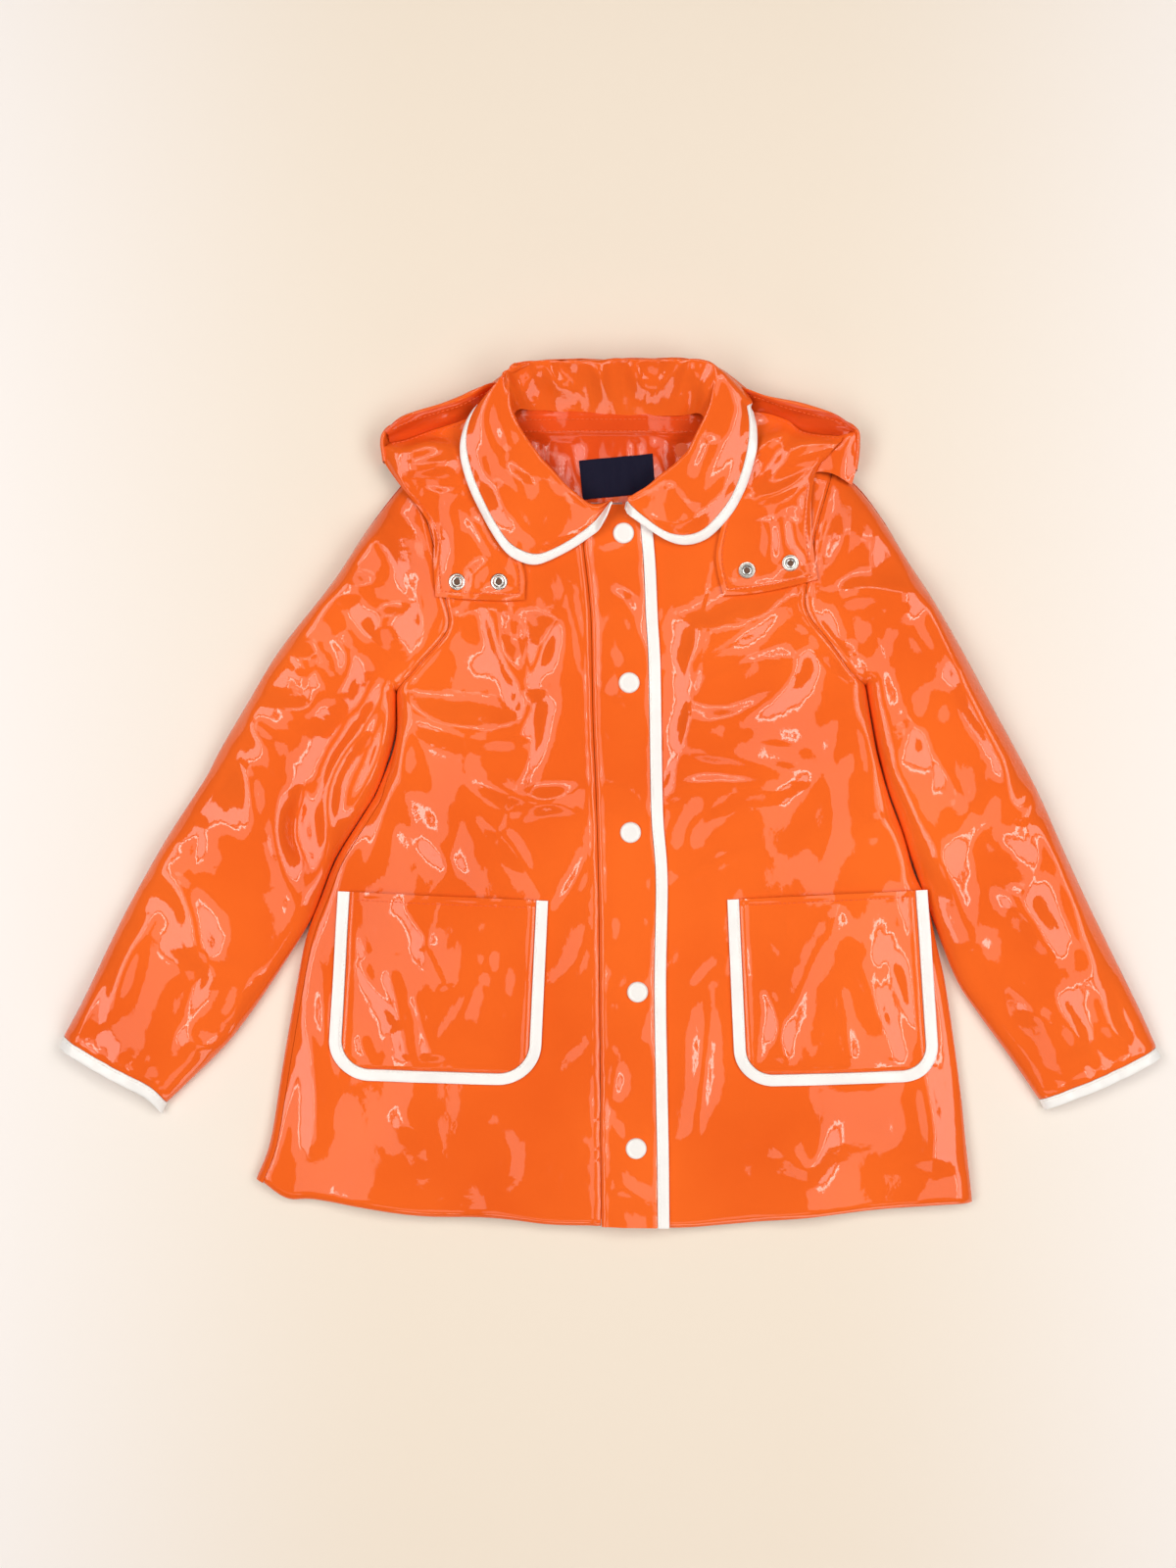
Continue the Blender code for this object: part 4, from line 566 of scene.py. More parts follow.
def crease(x, y, left_width, right_width, height, *pixels):
    """Soft ridge along a line, steeper on its narrower side and fading at its ends."""
    path = smooth((np.reshape(pixels, (-1, 2)) - MIDDLE) * (PIXEL, -PIXEL), 15)
    run = lengths(path)
    reach = 3 * max(left_width, right_width)
    low, high = path.min(axis=0) - reach, path.max(axis=0) + reach
    near = (x > low[0]) & (x < high[0]) & (y > low[1]) & (y < high[1])
    result = np.zeros_like(x)
    if not near.any():
        return result
    spots = np.stack([x[near], y[near]], 1)
    best, side, along = np.full(len(spots), 1e9), 0, 0
    for k, edge in enumerate(np.diff(path, axis=0)):
        away = spots - path[k]
        t = np.clip((away @ edge) / (edge @ edge), 0, 1)
        gap = norm(away - t[:, None] * edge, axis=1)
        closer = gap < best
        best = np.where(closer, gap, best)
        side = np.where(closer, edge[0] * away[:, 1] - edge[1] * away[:, 0], side)
        along = np.where(closer, mix(run[k], run[k + 1], t), along)
    width = np.where(side > 0, left_width, right_width)
    fade = np.sin(np.pi * (0.06 + 0.88 * along / run[-1])) ** 0.8
    rounded = np.sqrt(best ** 2 + 1.2) - np.sqrt(1.2)
    result[near] = 1.5 * height * fade * np.exp(-(rounded / width) ** 1.5)
    return result


def creases(x, y, table):
    """Sum of the ridges of one table."""
    return sum(crease(x, y, *row) for row in table)


def ridges(x, y, table, spread=1.0, power=2, bend=0.0):
    """Sum of straight soft ridges, which may bend to and fro."""
    total = np.zeros_like(x, float)
    for x0, y0, x1, y1, width, rise in table:
        run = np.hypot(x1 - x0, y1 - y0)
        forward = ((x - x0) * (x1 - x0) + (y - y0) * (y1 - y0)) / run
        aside = ((x - x0) * (y1 - y0) - (y - y0) * (x1 - x0)) / run
        aside = aside + bend * width * np.sin((x + y) / (1.4 * width))
        past = np.maximum(np.maximum(-forward, forward - run), 0) / (spread * width)
        total = total + rise * np.exp(-(np.abs(aside) / width) ** power - past ** 2)
    return total


def relief(x, y):
    """All the folds that the solids leave out."""
    x, y = np.broadcast_arrays(np.asarray(x, float), np.asarray(y, float))
    under_hood = ease((y - 222) / 18) * ease((168 - np.abs(x)) / 14)
    return (crumple(x, y) + creases(x, y, CREASES)) * (1 - 0.9 * under_hood)


# ---------------------------------------------------------------- how high the cloth lies

def cloth_base(x, y):
    """Height of the upper cloth without its finer folds."""
    return REST_HEIGHT + ridges(x, y, FOLDS, spread=1.1)


def cloth_height(x, y):
    """Height of the upper cloth, before its edges turn down."""
    return cloth_base(x, y) + relief(x, y)


def neck_folds(x, y):
    """Wrinkles of the back's inside at the neck, below the edge of its facing."""
    inside = ease((y - 196) / 16) * ease((64 - np.abs(x)) / 14)
    below = ease((NECK_FACING - y) / 6)
    ripple = 4.2 * noise(x + 0.25 * y, 0.3 * y, 23, 2.3) + 1.3 * noise(x, 0.5 * y, 11, 6.1)
    return inside * (ripple * mix(0.35, 1.0, below) + 0.8 * (1 - below))


def under_height(x, y):
    """Height of the back's underside: flat, but for its rise over the hood's hidden layers."""
    past = [np.maximum(np.abs(value - centre) - half - CROWN_MARGIN, 0)
            for value, centre, half in zip((x, y), CROWN_CENTRE, CROWN_HALF)]
    rise = CROWN_RISE * (1 - ease(np.hypot(*past) / CROWN_SLOPE))
    return rise + NECK_RISE * ease((y - NECK_START) / NECK_SLOPE) * ease((95 - np.abs(x)) / 40)


def nearest(x, y, edges):
    return np.min([distance(x, y, edge) for edge in edges], axis=0)


def upper_side(x, y, edges, shoulder=None):
    """Height of the top cloth, turned down at its edges and laid on the back at the shoulder."""
    floor = under_height(x, y)
    cloth = cloth_height(x, y)
    height = mix(floor + EDGE_HEIGHT + SEAM_HALF, cloth, quarter(nearest(x, y, edges) / TOP_ROLL))
    if shoulder is not None:
        on_back = floor + VINYL + LAYER + GAP / 2
        height = np.minimum(height, mix(on_back, cloth, quarter(distance(x, y, shoulder) / TOP_ROLL)))
    return height


def lower_side(x, y, edges):
    """Height of the underside, turned up at the given edges."""
    turned_up = 1 - quarter(nearest(x, y, edges) / UNDER_ROLL)
    return under_height(x, y) + (EDGE_HEIGHT - SEAM_HALF) * turned_up


def placket_lift(x, y):
    """Rise of the right front towards the placket's seam, which lies on the left front."""
    seam_x, edge_x = (np.interp(y, *PATH[name].T[::-1]) for name in ("placket_seam", "placket_edge"))
    before = ease((x - seam_x + 60) / 60)
    return PLACKET_STEP * np.where(x < edge_x + BINDING_WIDTH + 4, before, 0)


def front_surface(x, y):
    """Height of the topmost front cloth, placket included, away from the edges."""
    return cloth_height(x, y) + placket_lift(x, y) + GAP / 2


def tab_surface(x, y):
    """Height of the hood's tabs, which lie on the fronts."""
    return front_surface(x, y) + LAYER + 0.1


def seam_roll(away):
    """Cloth at a stitched seam: pulled down in the seam, and puffed up just beside it."""
    return 0.7 * hump(away, 3.0, 1.7) - 1.1 * hump(away, 0, 1.0)


def seam_relief(x, y, seam, depth):
    """Dip, puff and puckers beside a stitched seam line."""
    away = distance(x, y, seam)
    pucker = 0.45 * noise(x + y, away * 0.35, 8, 4.4) * np.exp(-away / 7)
    return depth * (seam_roll(away) + pucker)


# ---------------------------------------------------------------- shells


def grid_normals(grid, wrap=False):
    """Unit normals of a grid, by differences along its rows and columns."""
    along_row = np.gradient(grid, axis=1)
    if wrap:
        along_row = (np.roll(grid, -1, axis=1) - np.roll(grid, 1, axis=1)) / 2
    normal = np.cross(along_row, np.gradient(grid, axis=0))
    return normal / np.maximum(norm(normal, axis=2, keepdims=True), 1e-9)


def quads(index):
    """Faces of a grid of point numbers."""
    return np.stack([index[:-1, :-1], index[:-1, 1:], index[1:, 1:], index[1:, :-1]], -1).reshape(-1, 4)


def numbered(rows, columns, first=0, wrap=True):
    """Grid of point numbers, each row closed where it wraps."""
    index = first + np.arange(rows * columns).reshape(rows, columns)
    return np.concatenate([index, index[:, :1]], 1) if wrap else index


def add_piece(name, points, faces, look, node=None, sharp=50):
    """One closed piece with its faces outwards, which rides on the coat."""
    points, faces = np.asarray(points, float), np.concatenate(faces)
    a, b, c, d = (points[faces[:, k]] for k in range(4))
    if (a * np.cross(b, c)).sum() + (a * np.cross(c, d)).sum() < 0:
        faces = faces[:, ::-1]
    mesh = bpy.data.meshes.new(name)
    mesh.from_pydata((points * MM).tolist(), [], [tuple(dict.fromkeys(face)) for face in faces.tolist()])
    mesh.shade_smooth()
    mesh.set_sharp_from_angle(angle=np.radians(sharp))
    mesh.materials.append(LOOKS[look])
    made = placed(name, mesh)
    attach(made, "root")
    if node is not None:
        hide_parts(node)


def placed(name, data):
    """A new object in the scene."""
    made = bpy.data.objects.new(name, data)
    bpy.context.scene.collection.objects.link(made)
    return made


def shell(name, grid, depth, look, node=None, shown=1, wrap=False):
    """Closed thin shell behind a grid of shown points, which face up where shown is 1."""
    normal = grid_normals(grid, wrap)
    if wrap:
        normal *= np.sign((normal * (grid - grid.mean(axis=1, keepdims=True))).sum())
    else:
        normal *= np.sign(normal[..., 2].sum()) * shown
    inner = grid - normal * depth
    inner[..., 2] = np.maximum(inner[..., 2], FLOOR_CLEAR)
    rows, columns = grid.shape[:2]
    front = numbered(rows, columns, 0, wrap)
    behind = numbered(rows, columns, rows * columns, wrap)
    faces = [quads(front), quads(behind)[:, ::-1],
             quads(np.stack([behind[0], front[0]])), quads(np.stack([front[-1], behind[-1]]))]
    if not wrap:
        faces.append(quads(np.stack([front[:, 0], behind[:, 0]])))
        faces.append(quads(np.stack([behind[:, -1], front[:, -1]])))
    add_piece(name, np.concatenate([grid.reshape(-1, 3), inner.reshape(-1, 3)]), faces, look, node)


def tube(name, rings, ends, look, node=None, sharp=50):
    """Piece of closed rings in rows, each end closed to a middle point."""
    rows, around = rings.shape[:2]
    index = numbered(rows, around)
    points = np.vstack([rings.reshape(-1, 3), *ends])
    faces = [quads(index)]
    for row, turn, number in ((0, 1, 2), (-1, -1, 1)):
        middle = np.full(around, len(points) - number)
        faces.append(np.stack([index[row, :-1], middle, middle, index[row, 1:]], 1)[:, ::turn])
    add_piece(name, points, faces, look, node, sharp)


# Section of folded tape: shares across its upper side, and then columns share, height down round
# its outer edge and back along its base
TAPE_ACROSS = np.array([0.0, 0.04, 0.09, 0.14, 0.19, 0.24, 0.32, 0.42, 0.54, 0.66, 0.76, 0.84, 0.9,
                        0.95, 0.985, 1.0])
TAPE_EDGE = [(1.004, 0.42), (0.97, 0.2), (0.88, 0.06), (0.5, 0.0), (0.0, 0.0)]


def tape(name, cloth_edge, outer_edge, up, depth, node, thread_height):
    """Stitched tape folded over an edge: full in the middle, drawn in where it is stitched."""
    stitched = 0.24 * hump(TAPE_ACROSS, SEWN, 0.05)
    rise = np.clip(0.5 + 0.5 * flat_top(TAPE_ACROSS, 0.45, 0.56) - stitched, 0.5, 1.0)
    rise[0] = 0.62
    rings = np.array([mix(cloth_edge, outer_edge, share) + up * (height * depth)
                      for share, height in [*zip(TAPE_ACROSS, rise), *TAPE_EDGE]]).transpose(1, 0, 2)
    tube("tape_" + name, rings, rings[[0, -1]].mean(axis=1), "binding", node)
    sewn = mix(cloth_edge, outer_edge, SEWN) + thread_height
    stitches(name, sewn, "thread")


def turned(name, seat, profile, look, node, sides=40):
    """Turned piece: profile rows are radius, height, from the top's middle to the base's."""
    centre, up = seat
    side = unit(np.cross(up, (0.0, 1.0, 0.0)))
    turn = np.linspace(0, 2 * np.pi, sides, endpoint=False)[:, None]
    around = np.cos(turn) * side + np.sin(turn) * np.cross(up, side)
    rings = np.array([centre + up * rise + radius * around for radius, rise in profile[1:-1]])
    tube(name, rings, [centre + up * profile[0][1], centre + up * profile[-1][1]], look, node, 35)


# Rings of a thread stitch: columns share along it, width, height over the cloth
THREAD_RINGS = [(0.0, 0.3, -0.15), (0.14, 0.85, 0.15), (0.5, 1.0, 0.26), (0.86, 0.85, 0.15),
                (1.0, 0.3, -0.15)]
THREAD_WIDTH = 0.55
STITCH_PITCH = 3.4
STITCH_LENGTH = 2.5


def stitches(name, line, look):
    """Row of short thread stitches that lie along a line of points."""
    total = lengths(line)[-1]
    starts = (np.arange(int(total / STITCH_PITCH)) + 0.2) * STITCH_PITCH
    starts = starts[starts + STITCH_LENGTH < total]
    first, last = at(line, starts / total), at(line, (starts + STITCH_LENGTH) / total)
    along = unit(last - first)
    aside = unit(np.cross(along, (0.0, 0.0, 1.0)))
    rise = np.cross(aside, along)
    turns = np.linspace(0, 2 * np.pi, 6, endpoint=False)
    rings = [[mix(first, last, share) + rise * lift
              + THREAD_WIDTH * size * (np.cos(turn) * aside / 2 + np.sin(turn) * rise / 2.4)
              for turn in turns] for share, size, lift in THREAD_RINGS]
    points = np.array(rings).transpose(2, 0, 1, 3).reshape(-1, 3)
    index = np.arange(len(points)).reshape(-1, 5, 6)
    after = np.roll(index, -1, axis=2)
    faces = [np.stack([index[:, :-1], after[:, :-1], after[:, 1:], index[:, 1:]], -1).reshape(-1, 4)]
    for ring, turn in ((0, 1), (4, -1)):
        faces += [index[:, ring, half][:, ::turn] for half in ([0, 3, 2, 1], [0, 5, 4, 3])]
    add_piece("stitches_" + name, points, faces, look)


# ---------------------------------------------------------------- panels

# Distances of the first rows from an edge that turns round, on its top side and on its underside
TOP_ROWS = np.array([0, 0.3, 0.8, 1.6, 2.6, 4.2, 6, 8.5, 11])
UNDER_ROWS = np.array([0.2, 0.6, 1.2, 2.2, 4.2])
BACK_ROWS = np.array([0, 0.35, 0.8, 1.4, 2.4, 4.0, 7.0, 12.0])


def both_edges(near, count, width):
    """Shares across a row: the near distances from both of its edges, and even steps between."""
    close = near / width
    inside = close[-1] + (1 - 2 * close[-1]) * np.arange(1, count) / count
    return np.concatenate([close, inside, 1 - close[::-1]])


def panel_rows(below, above):
    """Shares up a panel, with a row at the underarm."""
    return np.concatenate([SIDE_SHARE * even(below + 1), mix(SIDE_SHARE, 1, even(above + 1))[1:]])


def front(side):
    """A front panel, its grid running from its side to its centre line and from hem to neck."""
    centre = PATH["placket_seam"] + (UNDER_PLACKET if side == "left" else -GAP / 2, 0)
    seam = side_seam(side, WRAP[side], GAP / 2)[::-1]
    armhole, shoulder = front_armhole(side), PATH["shoulder_" + side]
    hem = between(HEM, seam[0], centre[0])
    rows = panel_rows(165, 75)

    def edge(v):
        return chain([seam, armhole], [SIDE_SHARE, 1 - SIDE_SHARE], v)

    def top(u):
        return chain([shoulder, PATH["neck_" + side]], [SHOULDER_SHARE, 1 - SHOULDER_SHARE], u)

    close = TOP_ROWS / norm(edge(rows) - at(centre, rows), axis=1)[:, None]
    u = np.hstack([close, mix(close[:, -1:], 1, even(85)[None, 1:])])
    v = np.repeat(rows[:, None], u.shape[1], axis=1)
    x, y = plan(coons(lambda t: at(hem, t), top, edge, lambda t: at(centre, t), u, v))
    z = upper_side(x, y, [PATH["side_" + side]], shoulder) + GAP / 2
    z = z + seam_relief(x, y, armhole, 0.9)
    if side == "right":
        z = z + placket_lift(x, y) + seam_relief(x, y, PATH["placket_seam"], 1.0)
    up_from_hem = v * lengths(seam)[-1] / SIDE_SHARE
    z = z - HEM_DROP * (1 - quarter(up_from_hem / 6.0))
    shell("cloth_front_" + side, np.dstack([x, y, z]), SHELL, "vinyl", "front_" + side)


def back():
    """The back lies on the surface, turns up at its sides and comes round at the right one."""
    right, left = (side_seam(side, 0, 0)[::-1] for side in SIDES)
    rows = panel_rows(90, 80)
    shares = [SIDE_SHARE, 1 - SIDE_SHARE]

    def near_side(t):
        return chain([right, PATH["back_armhole_right"]], shares, t)

    def far_side(t):
        return chain([left, PATH["back_armhole_left"]], shares, t)

    width = norm(near_side(rows) - far_side(rows), axis=1)
    u = np.array([both_edges(BACK_ROWS, 99, wide) for wide in width])
    v = np.repeat(rows[:, None], u.shape[1], axis=1)
    hem = smooth([right[0], *[(x * 0.985, y + 3.0) for x, y in HEM[2:-1]], left[0]])
    tops = [PATH["shoulder_right"], PATH["neck_back"], PATH["shoulder_left"][::-1]]
    x, y = plan(coons(lambda t: at(hem, t), lambda t: chain(tops, [0.29, 0.42, 0.29], t),
                      near_side, far_side, u, v))
    edges = [PATH["side_" + side] for side in SIDES]
    flat = np.dstack([x, y, lower_side(x, y, edges) + neck_folds(x, y)])

    # The turn at the right side: columns from the front's seam back to the side
    at_side = rows <= SIDE_SHARE
    start, end = (at(line, rows[at_side] / SIDE_SHARE)
                  for line in (right, side_seam("right", WRAP["right"], 0)[::-1]))
    turned_up = []
    for share in (0.96, 0.84, 0.7, 0.55, 0.4, 0.28, 0.18, 0.1, 0.04):
        spot = mix(start, end, share)
        reach = norm(end - start, axis=1) * share
        rise = mix(EDGE_HEIGHT - SEAM_HALF, cloth_height(*plan(spot)), quarter(reach / TOP_ROLL))
        turned_up.append(np.column_stack([spot, rise]))
    turned_up = np.stack(turned_up, 1)
    above = np.repeat(flat[~at_side][:, :1], turned_up.shape[1], axis=1)
    grid = np.concatenate([np.concatenate([turned_up, above]), flat], axis=1)
    shell("cloth_back", grid, SHELL, "vinyl", "back", shown=-1)


# What the neck shows of the back's inside: places in y, and half of its width there
NECK_OPENING = [186, 205, 235, 262, 276], [40, 62, 84, 88, 84]
NECK_SEAMS = [("neck_low", 258.5), ("neck_high", 266.5)]   # columns name, y


def neck_inside():
    """The back's inside as the neck shows it: a facing and, below its edge, gathered cloth, in a darker
    look that paints the shade inside the neck.
    """
    heights, half_widths = NECK_OPENING
    y = np.repeat(np.linspace(heights[0], heights[-1], 84)[:, None], 104, axis=1)
    x = np.interp(y, heights, half_widths) * np.linspace(-1, 1, 104)
    z = under_height(x, y) + SHELL + 0.35 + neck_folds(x, y)
    z = z + 0.9 * ease((y - NECK_FACING) / 1.2) - 0.3 * hump(y, 271, 1.6)
    # Painted shade: the whole piece takes the darker inside look
    shell("cloth_neck_inside", np.dstack([x, y, z]), 0.3, "inside")
    for name, line_y in NECK_SEAMS:
        x = np.linspace(-62, 62, 120)
        y = np.full(120, line_y)
        rise = under_height(x, y) + neck_folds(x, y) + SHELL + 1.45
        stitches(name, np.column_stack([x, y, rise]), "orange_thread")


def sleeve(side, away):
    """A tube from the armhole to the cuff, flat below, with its wall's edges turned round."""
    outer, inner, cuff = PATH["outer_" + side], sleeve_inner(side), PATH["cuff_" + side]
    armhole = front_armhole(side)[::-1]
    stations = even(185)
    outer_line, inner_line = at(outer, stations), at(inner, stations ** SLEEVE_SKEW)
    rings = []
    for s, a, b in zip(stations, outer_line, inner_line):
        width = norm(b - a)
        at_cuff = (1 - s) * lengths(outer_line)[-1]
        ring = []
        for shares, line, height in ((both_edges(TOP_ROWS, 46, width), armhole, upper_side),
                                     (1 - both_edges(UNDER_ROWS, 16, width),
                                      PATH["back_armhole_" + side][::-1], lower_side)):
            across = shares[:, None]
            bow = at(line, shares) - mix(outer[0], inner[0], across) + (away * ARMHOLE_CLEAR, 0)
            bow_end = at(cuff, shares) - mix(outer[-1], inner[-1], across)
            fade = np.clip(1 - s / (0.34 * (1 - 0.9 * across ** 2)), 0, 1) ** 2
            x, y = plan(mix(a, b, across) + bow * fade + bow_end * np.clip((s - 0.8) / 0.2, 0, 1))
            z = height(x, y, [outer, inner])
            if height is upper_side:
                z = z + seam_relief(x, y, armhole, 0.9) + 0.7 * seam_roll(at_cuff)
                gather = noise(shares * width, 0.3 * at_cuff + 0 * x, 10, 6.3) * np.exp(-at_cuff / 12)
                z = z + 1.5 * gather * ease(to_end(shares) / 0.15)
            ring.append(np.column_stack([x, y, z]))
        rings.append(np.vstack(ring))
    shell("cloth_sleeve_" + side, np.array(rings), SHELL, "vinyl", "sleeve_" + side, wrap=True)
    cuff_tape("cuff_binding_" + side, rings[-1], np.array([*CUFF_OUT[side], 0.0]))


def cuff_tape(node, end, out):
    """Binding round the end of a sleeve, rounded and a little fuller than the sleeve."""
    top = end[:, 2] > EDGE_HEIGHT - 1
    first = end + unit(out) * GAP
    middle = first.mean(axis=0)
    rings = []
    for share in [0, 0.03, 0.08, 0.14, 0.2, 0.26, *np.linspace(0.34, 0.94, 9), 0.98, 1.0]:
        bulge = 0.75 * flat_top(share, 0.5, 0.52) - 0.35 * hump(share, 0.19, 0.05)
        ring = first + out * share
        ripple = 0.35 * noise(ring[:, 0] + ring[:, 1], 6.0 * share, 9, 7.7)
        ring[:, 2] += np.where(top, bulge + ripple - 0.06 * share * ring[:, 2], 0)
        rings.append(ring)
    for share, inward in ((1.03, 0.4), (1.04, 1.0)):
        ring = first + out * share
        ring[:, 2] = np.where(top, rings[-1][:, 2] - inward, ring[:, 2])
        ring[:, :2] += (middle[:2] + out[:2] - ring[:, :2]) * 0.004 * inward
        rings.append(ring)
    shell("tape_" + node, np.array(rings), 1.0, "binding", node, wrap=True)
    stitches(node, (first + out * 0.19)[top] + (0, 0, 0.55), "thread")


# ---------------------------------------------------------------- collar, hood and trim

def evened(rows, times):
    """Rows of a table evened out along it."""
    for _ in range(times):
        rows = np.concatenate([rows[:1], (rows[:-2] + 2 * rows[1:-1] + rows[2:]) / 4, rows[-1:]])
    return rows


def collar_row(seam, corner, edge, tuck):
    """Points of the collar's cloth from its seam over the roll to its binding."""
    fall, stand = norm(edge - corner), norm(corner - seam)
    binding = BINDING_WIDTH * (1 - tuck) + GAP
    cloth_end = corner + (edge - corner) * max(1 - binding / fall, 0.12)
    roll = min(COLLAR_ROLL, 0.45 * stand, 0.5 * norm(cloth_end - corner))
    up_end = corner + (seam - corner) / stand * roll
    down_start = corner + (edge - corner) / fall * roll
    path = [mix(seam, up_end, t) for t in even(8)]
    path += [(1 - t) ** 2 * up_end + 2 * t * (1 - t) * corner + t ** 2 * down_start
             for t in even(10)[1:]]
    path += [mix(down_start, cloth_end, t) + (0, 0, 2.0 * np.sin(np.pi * t) * min(1.0, fall / 50))
             for t in even(25)[1:]]
    return path


def collar():
    """Each station runs from the neck seam up to the roll and down to the outer edge."""
    table = np.array(COLLAR, float)
    x, y = table[:, 0], table[:, 1]
    on_back = under_height(x, y) + VINYL
    on_front = np.maximum(cloth_base(x, y) + placket_lift(x, y) + GAP / 2, on_back)
    seam_height = np.where((y > 264) & (np.abs(x) < 60), on_back, on_front)
    across = norm(table[:, 2:4] - table[:, :2], axis=1)
    slant = across / np.hypot(across, table[:, 4] - seam_height)
    seam_height += COLLAR_SEAM_LIFT + COLLAR_DEPTH * slant
    dense = smooth(np.column_stack([x, y, seam_height, table[:, 2:]]), 1200)
    stations = at(dense, even(300), lengths(dense[:, 6:]) + lengths(dense[:, 3:6]))
    # At the back the binding turns in under the collar's edge
    tucks = ease((stations[:, 7] - 268) / 9) * ease((stations[:, 8] - 9) / 5)
    grid = np.array([collar_row(*row.reshape(3, 3), tuck) for row, tuck in zip(stations, tucks)])

    share = np.concatenate([np.zeros(17), even(25)[1:]])
    x, y = plan(grid)
    folds = 2.6 * noise(x, y, 42, 3.3) + 0.7 * noise(x, y, 19, 6.4) + ridges(x, y, COLLAR_FOLDS)
    grid[..., 2] += folds * np.clip(np.sin(np.pi * share) * 1.6, 0, 1)
    stand = np.clip(np.arange(grid.shape[1]) / 18, 0, 1)
    run = lengths(grid[:, 8])[:, None]
    wrinkle = (noise(run + 9 * stand, 16 * stand + 0 * run, 17, 5.5)
               + 0.5 * noise(run - 6 * stand, 12 * stand + 0 * run, 9, 2.2))
    at_back = ease((y - 250) / 30)
    wrinkle *= np.sin(np.pi * stand) * (0.5 + 2.1 * at_back * ease((66 - np.abs(x)) / 16))
    grid = grid + grid_normals(grid) * wrinkle[..., None]
    at_back = at_back * ease((0.9 - stand) / 0.3) * ease(stand / 0.15)
    grid[..., 2] += creases(*plan(grid), STAND_CREASES) * at_back
    grid[..., 2] += 0.3 * noise(x + y, x - y, 9, 1.9) * hump(share, 1.0, 0.05)
    shell("cloth_collar", grid, DOUBLED, "vinyl", "collar")

    normal = grid_normals(grid)
    normal *= np.sign(normal[..., 2].sum())
    up = unit(evened(normal[:, -1], 5))
    fall = evened(unit(grid[:, -1] - grid[:, -3]), 5)
    tucks = tucks[:, None]
    inward = fall * 0 + (0, -0.2, -1)
    inward[:, 0] = -0.35 * np.sign(fall[:, 0])
    fall = unit(mix(fall, inward, tucks))
    up = unit(up - fall * (up * fall).sum(axis=1)[:, None])
    start = grid[:, -1] + fall * GAP - up * (COLLAR_TAPE - 0.4)
    outer = start + fall * (BINDING_WIDTH - GAP)
    tape("collar", start, outer, up, COLLAR_TAPE, "collar_binding", up * (COLLAR_TAPE * 0.76))


def edges_kept(rows, columns, margins):
    """Share of a grid's own folds that is left near its edges."""
    i, j = even(rows)[:, None], even(columns)
    return ease(to_end(i) / margins[0]) * ease(to_end(j) / margins[1])


HOOD_ROWS = 120
HOOD_COLUMNS = 64
FLAT_AT_SNAP = 9.5   # radius within which the cloth is free of folds at a snap


def hood_side(side):
    """From the valley over the near rim, down across the shoulder to the end of the tab."""
    name = "hood_side_" + side
    tab = [[(x, y, float(cloth_base(x, y) + placket_lift(x, y) + GAP / 2) + rise + 0.1)
            for x, y, rise in row] for row in HOOD_TAB[side]]
    grid = loft(HOOD_SIDE[side] + tab, HOOD_ROWS, HOOD_COLUMNS)
    x, y = plan(grid)
    follow = ease((HOOD_ON_FRONT - y) / HOOD_SETTLES)
    own = 0.9 * noise(x, y, 30, 5.9) + 0.5 * noise(x, y, 14, 2.8)
    puff = mix(1.6, 1.3, follow) * own * edges_kept(HOOD_ROWS, HOOD_COLUMNS, (0.08, 0.12))
    outward = np.where(follow > 0, 0.5 * (puff + np.sqrt(puff ** 2 + 0.3)), puff)
    from_side = to_end(even(HOOD_COLUMNS))
    fold = creases(x, y, HOOD_CREASES) * ease(from_side / 0.06)
    free = np.ones_like(x)
    for snap_x, snap_y in HOOD_SNAPS["right"] + HOOD_SNAPS["left"]:
        free *= 1 - np.exp(-(np.hypot(x - snap_x, y - snap_y) / FLAT_AT_SNAP) ** 4)
    grid[..., 2] += follow * relief(x, y) + (mix(puff, outward, follow) + fold) * free
    edge = np.minimum(from_side * 64, (1 - even(HOOD_ROWS)[:, None]) * 110)
    grid[..., 2] += follow * (0.4 + 0.25 * hump(edge, 0, 6.0) - 0.3 * hump(edge, 3.6, 0.9))
    shell("cloth_" + name, grid, DOUBLED, "vinyl", name)
    line = np.vstack([grid[44:-4, 4], grid[-5, 4:-4], grid[44:-4, -5][::-1]])
    stitches(name, line + (0, 0, 0.12), "orange_thread")
    stitches("rim_" + name, grid[2, 2:-2] + (0, 0, 0.1), "orange_thread")


def hood_strip(name, rows, row_count, column_count):
    """The hood's hem, or one of its bands with its outside and its inner side, which has a darker look
    that paints the shade inside the hood.
    """
    grid = loft(rows, row_count, column_count)
    wave = 0.8 * noise(grid[..., 0], grid[..., 2] * 2 + grid[..., 1], 19, 3.7)
    wave *= edges_kept(row_count, column_count, (0.1, 0.1))
    grid = grid + grid_normals(grid) * wave[..., None]
    if "band" not in name:
        shell("cloth_" + name, grid, SHELL, "vinyl", name)
        return
    rim = int(grid[..., 2].mean(axis=1).argmax()) + 2
    shell("cloth_" + name, grid[:rim], SHELL, "vinyl", name)
    # Painted shade: past the rim the band's inner side gets the darker inside look
    shell("painted_shade_" + name, grid[rim - 1:], SHELL, "inside", name)
    stitches(name, grid[rim + 8, 2:-2] + (0, 0, 0.25), "orange_thread")


# Section of the hood's outer wall at its corners: columns inset, share of the rim's height, drop
CORNER_SECTION = [(0.6, 0.02, 0), (-0.2, 0.25, 0), (-0.6, 0.5, 0), (-0.5, 0.75, 0), (-0.1, 0.9, 0),
                  (0.5, 0.97, 0), (1.4, 1.0, 0), (2.4, 1.0, 0.5), (3.2, 1.0, 2.0), (3.8, 1.0, 4.0),
                  (5.2, 1.0, 6.5), (8.0, 1.0, 8.5)]


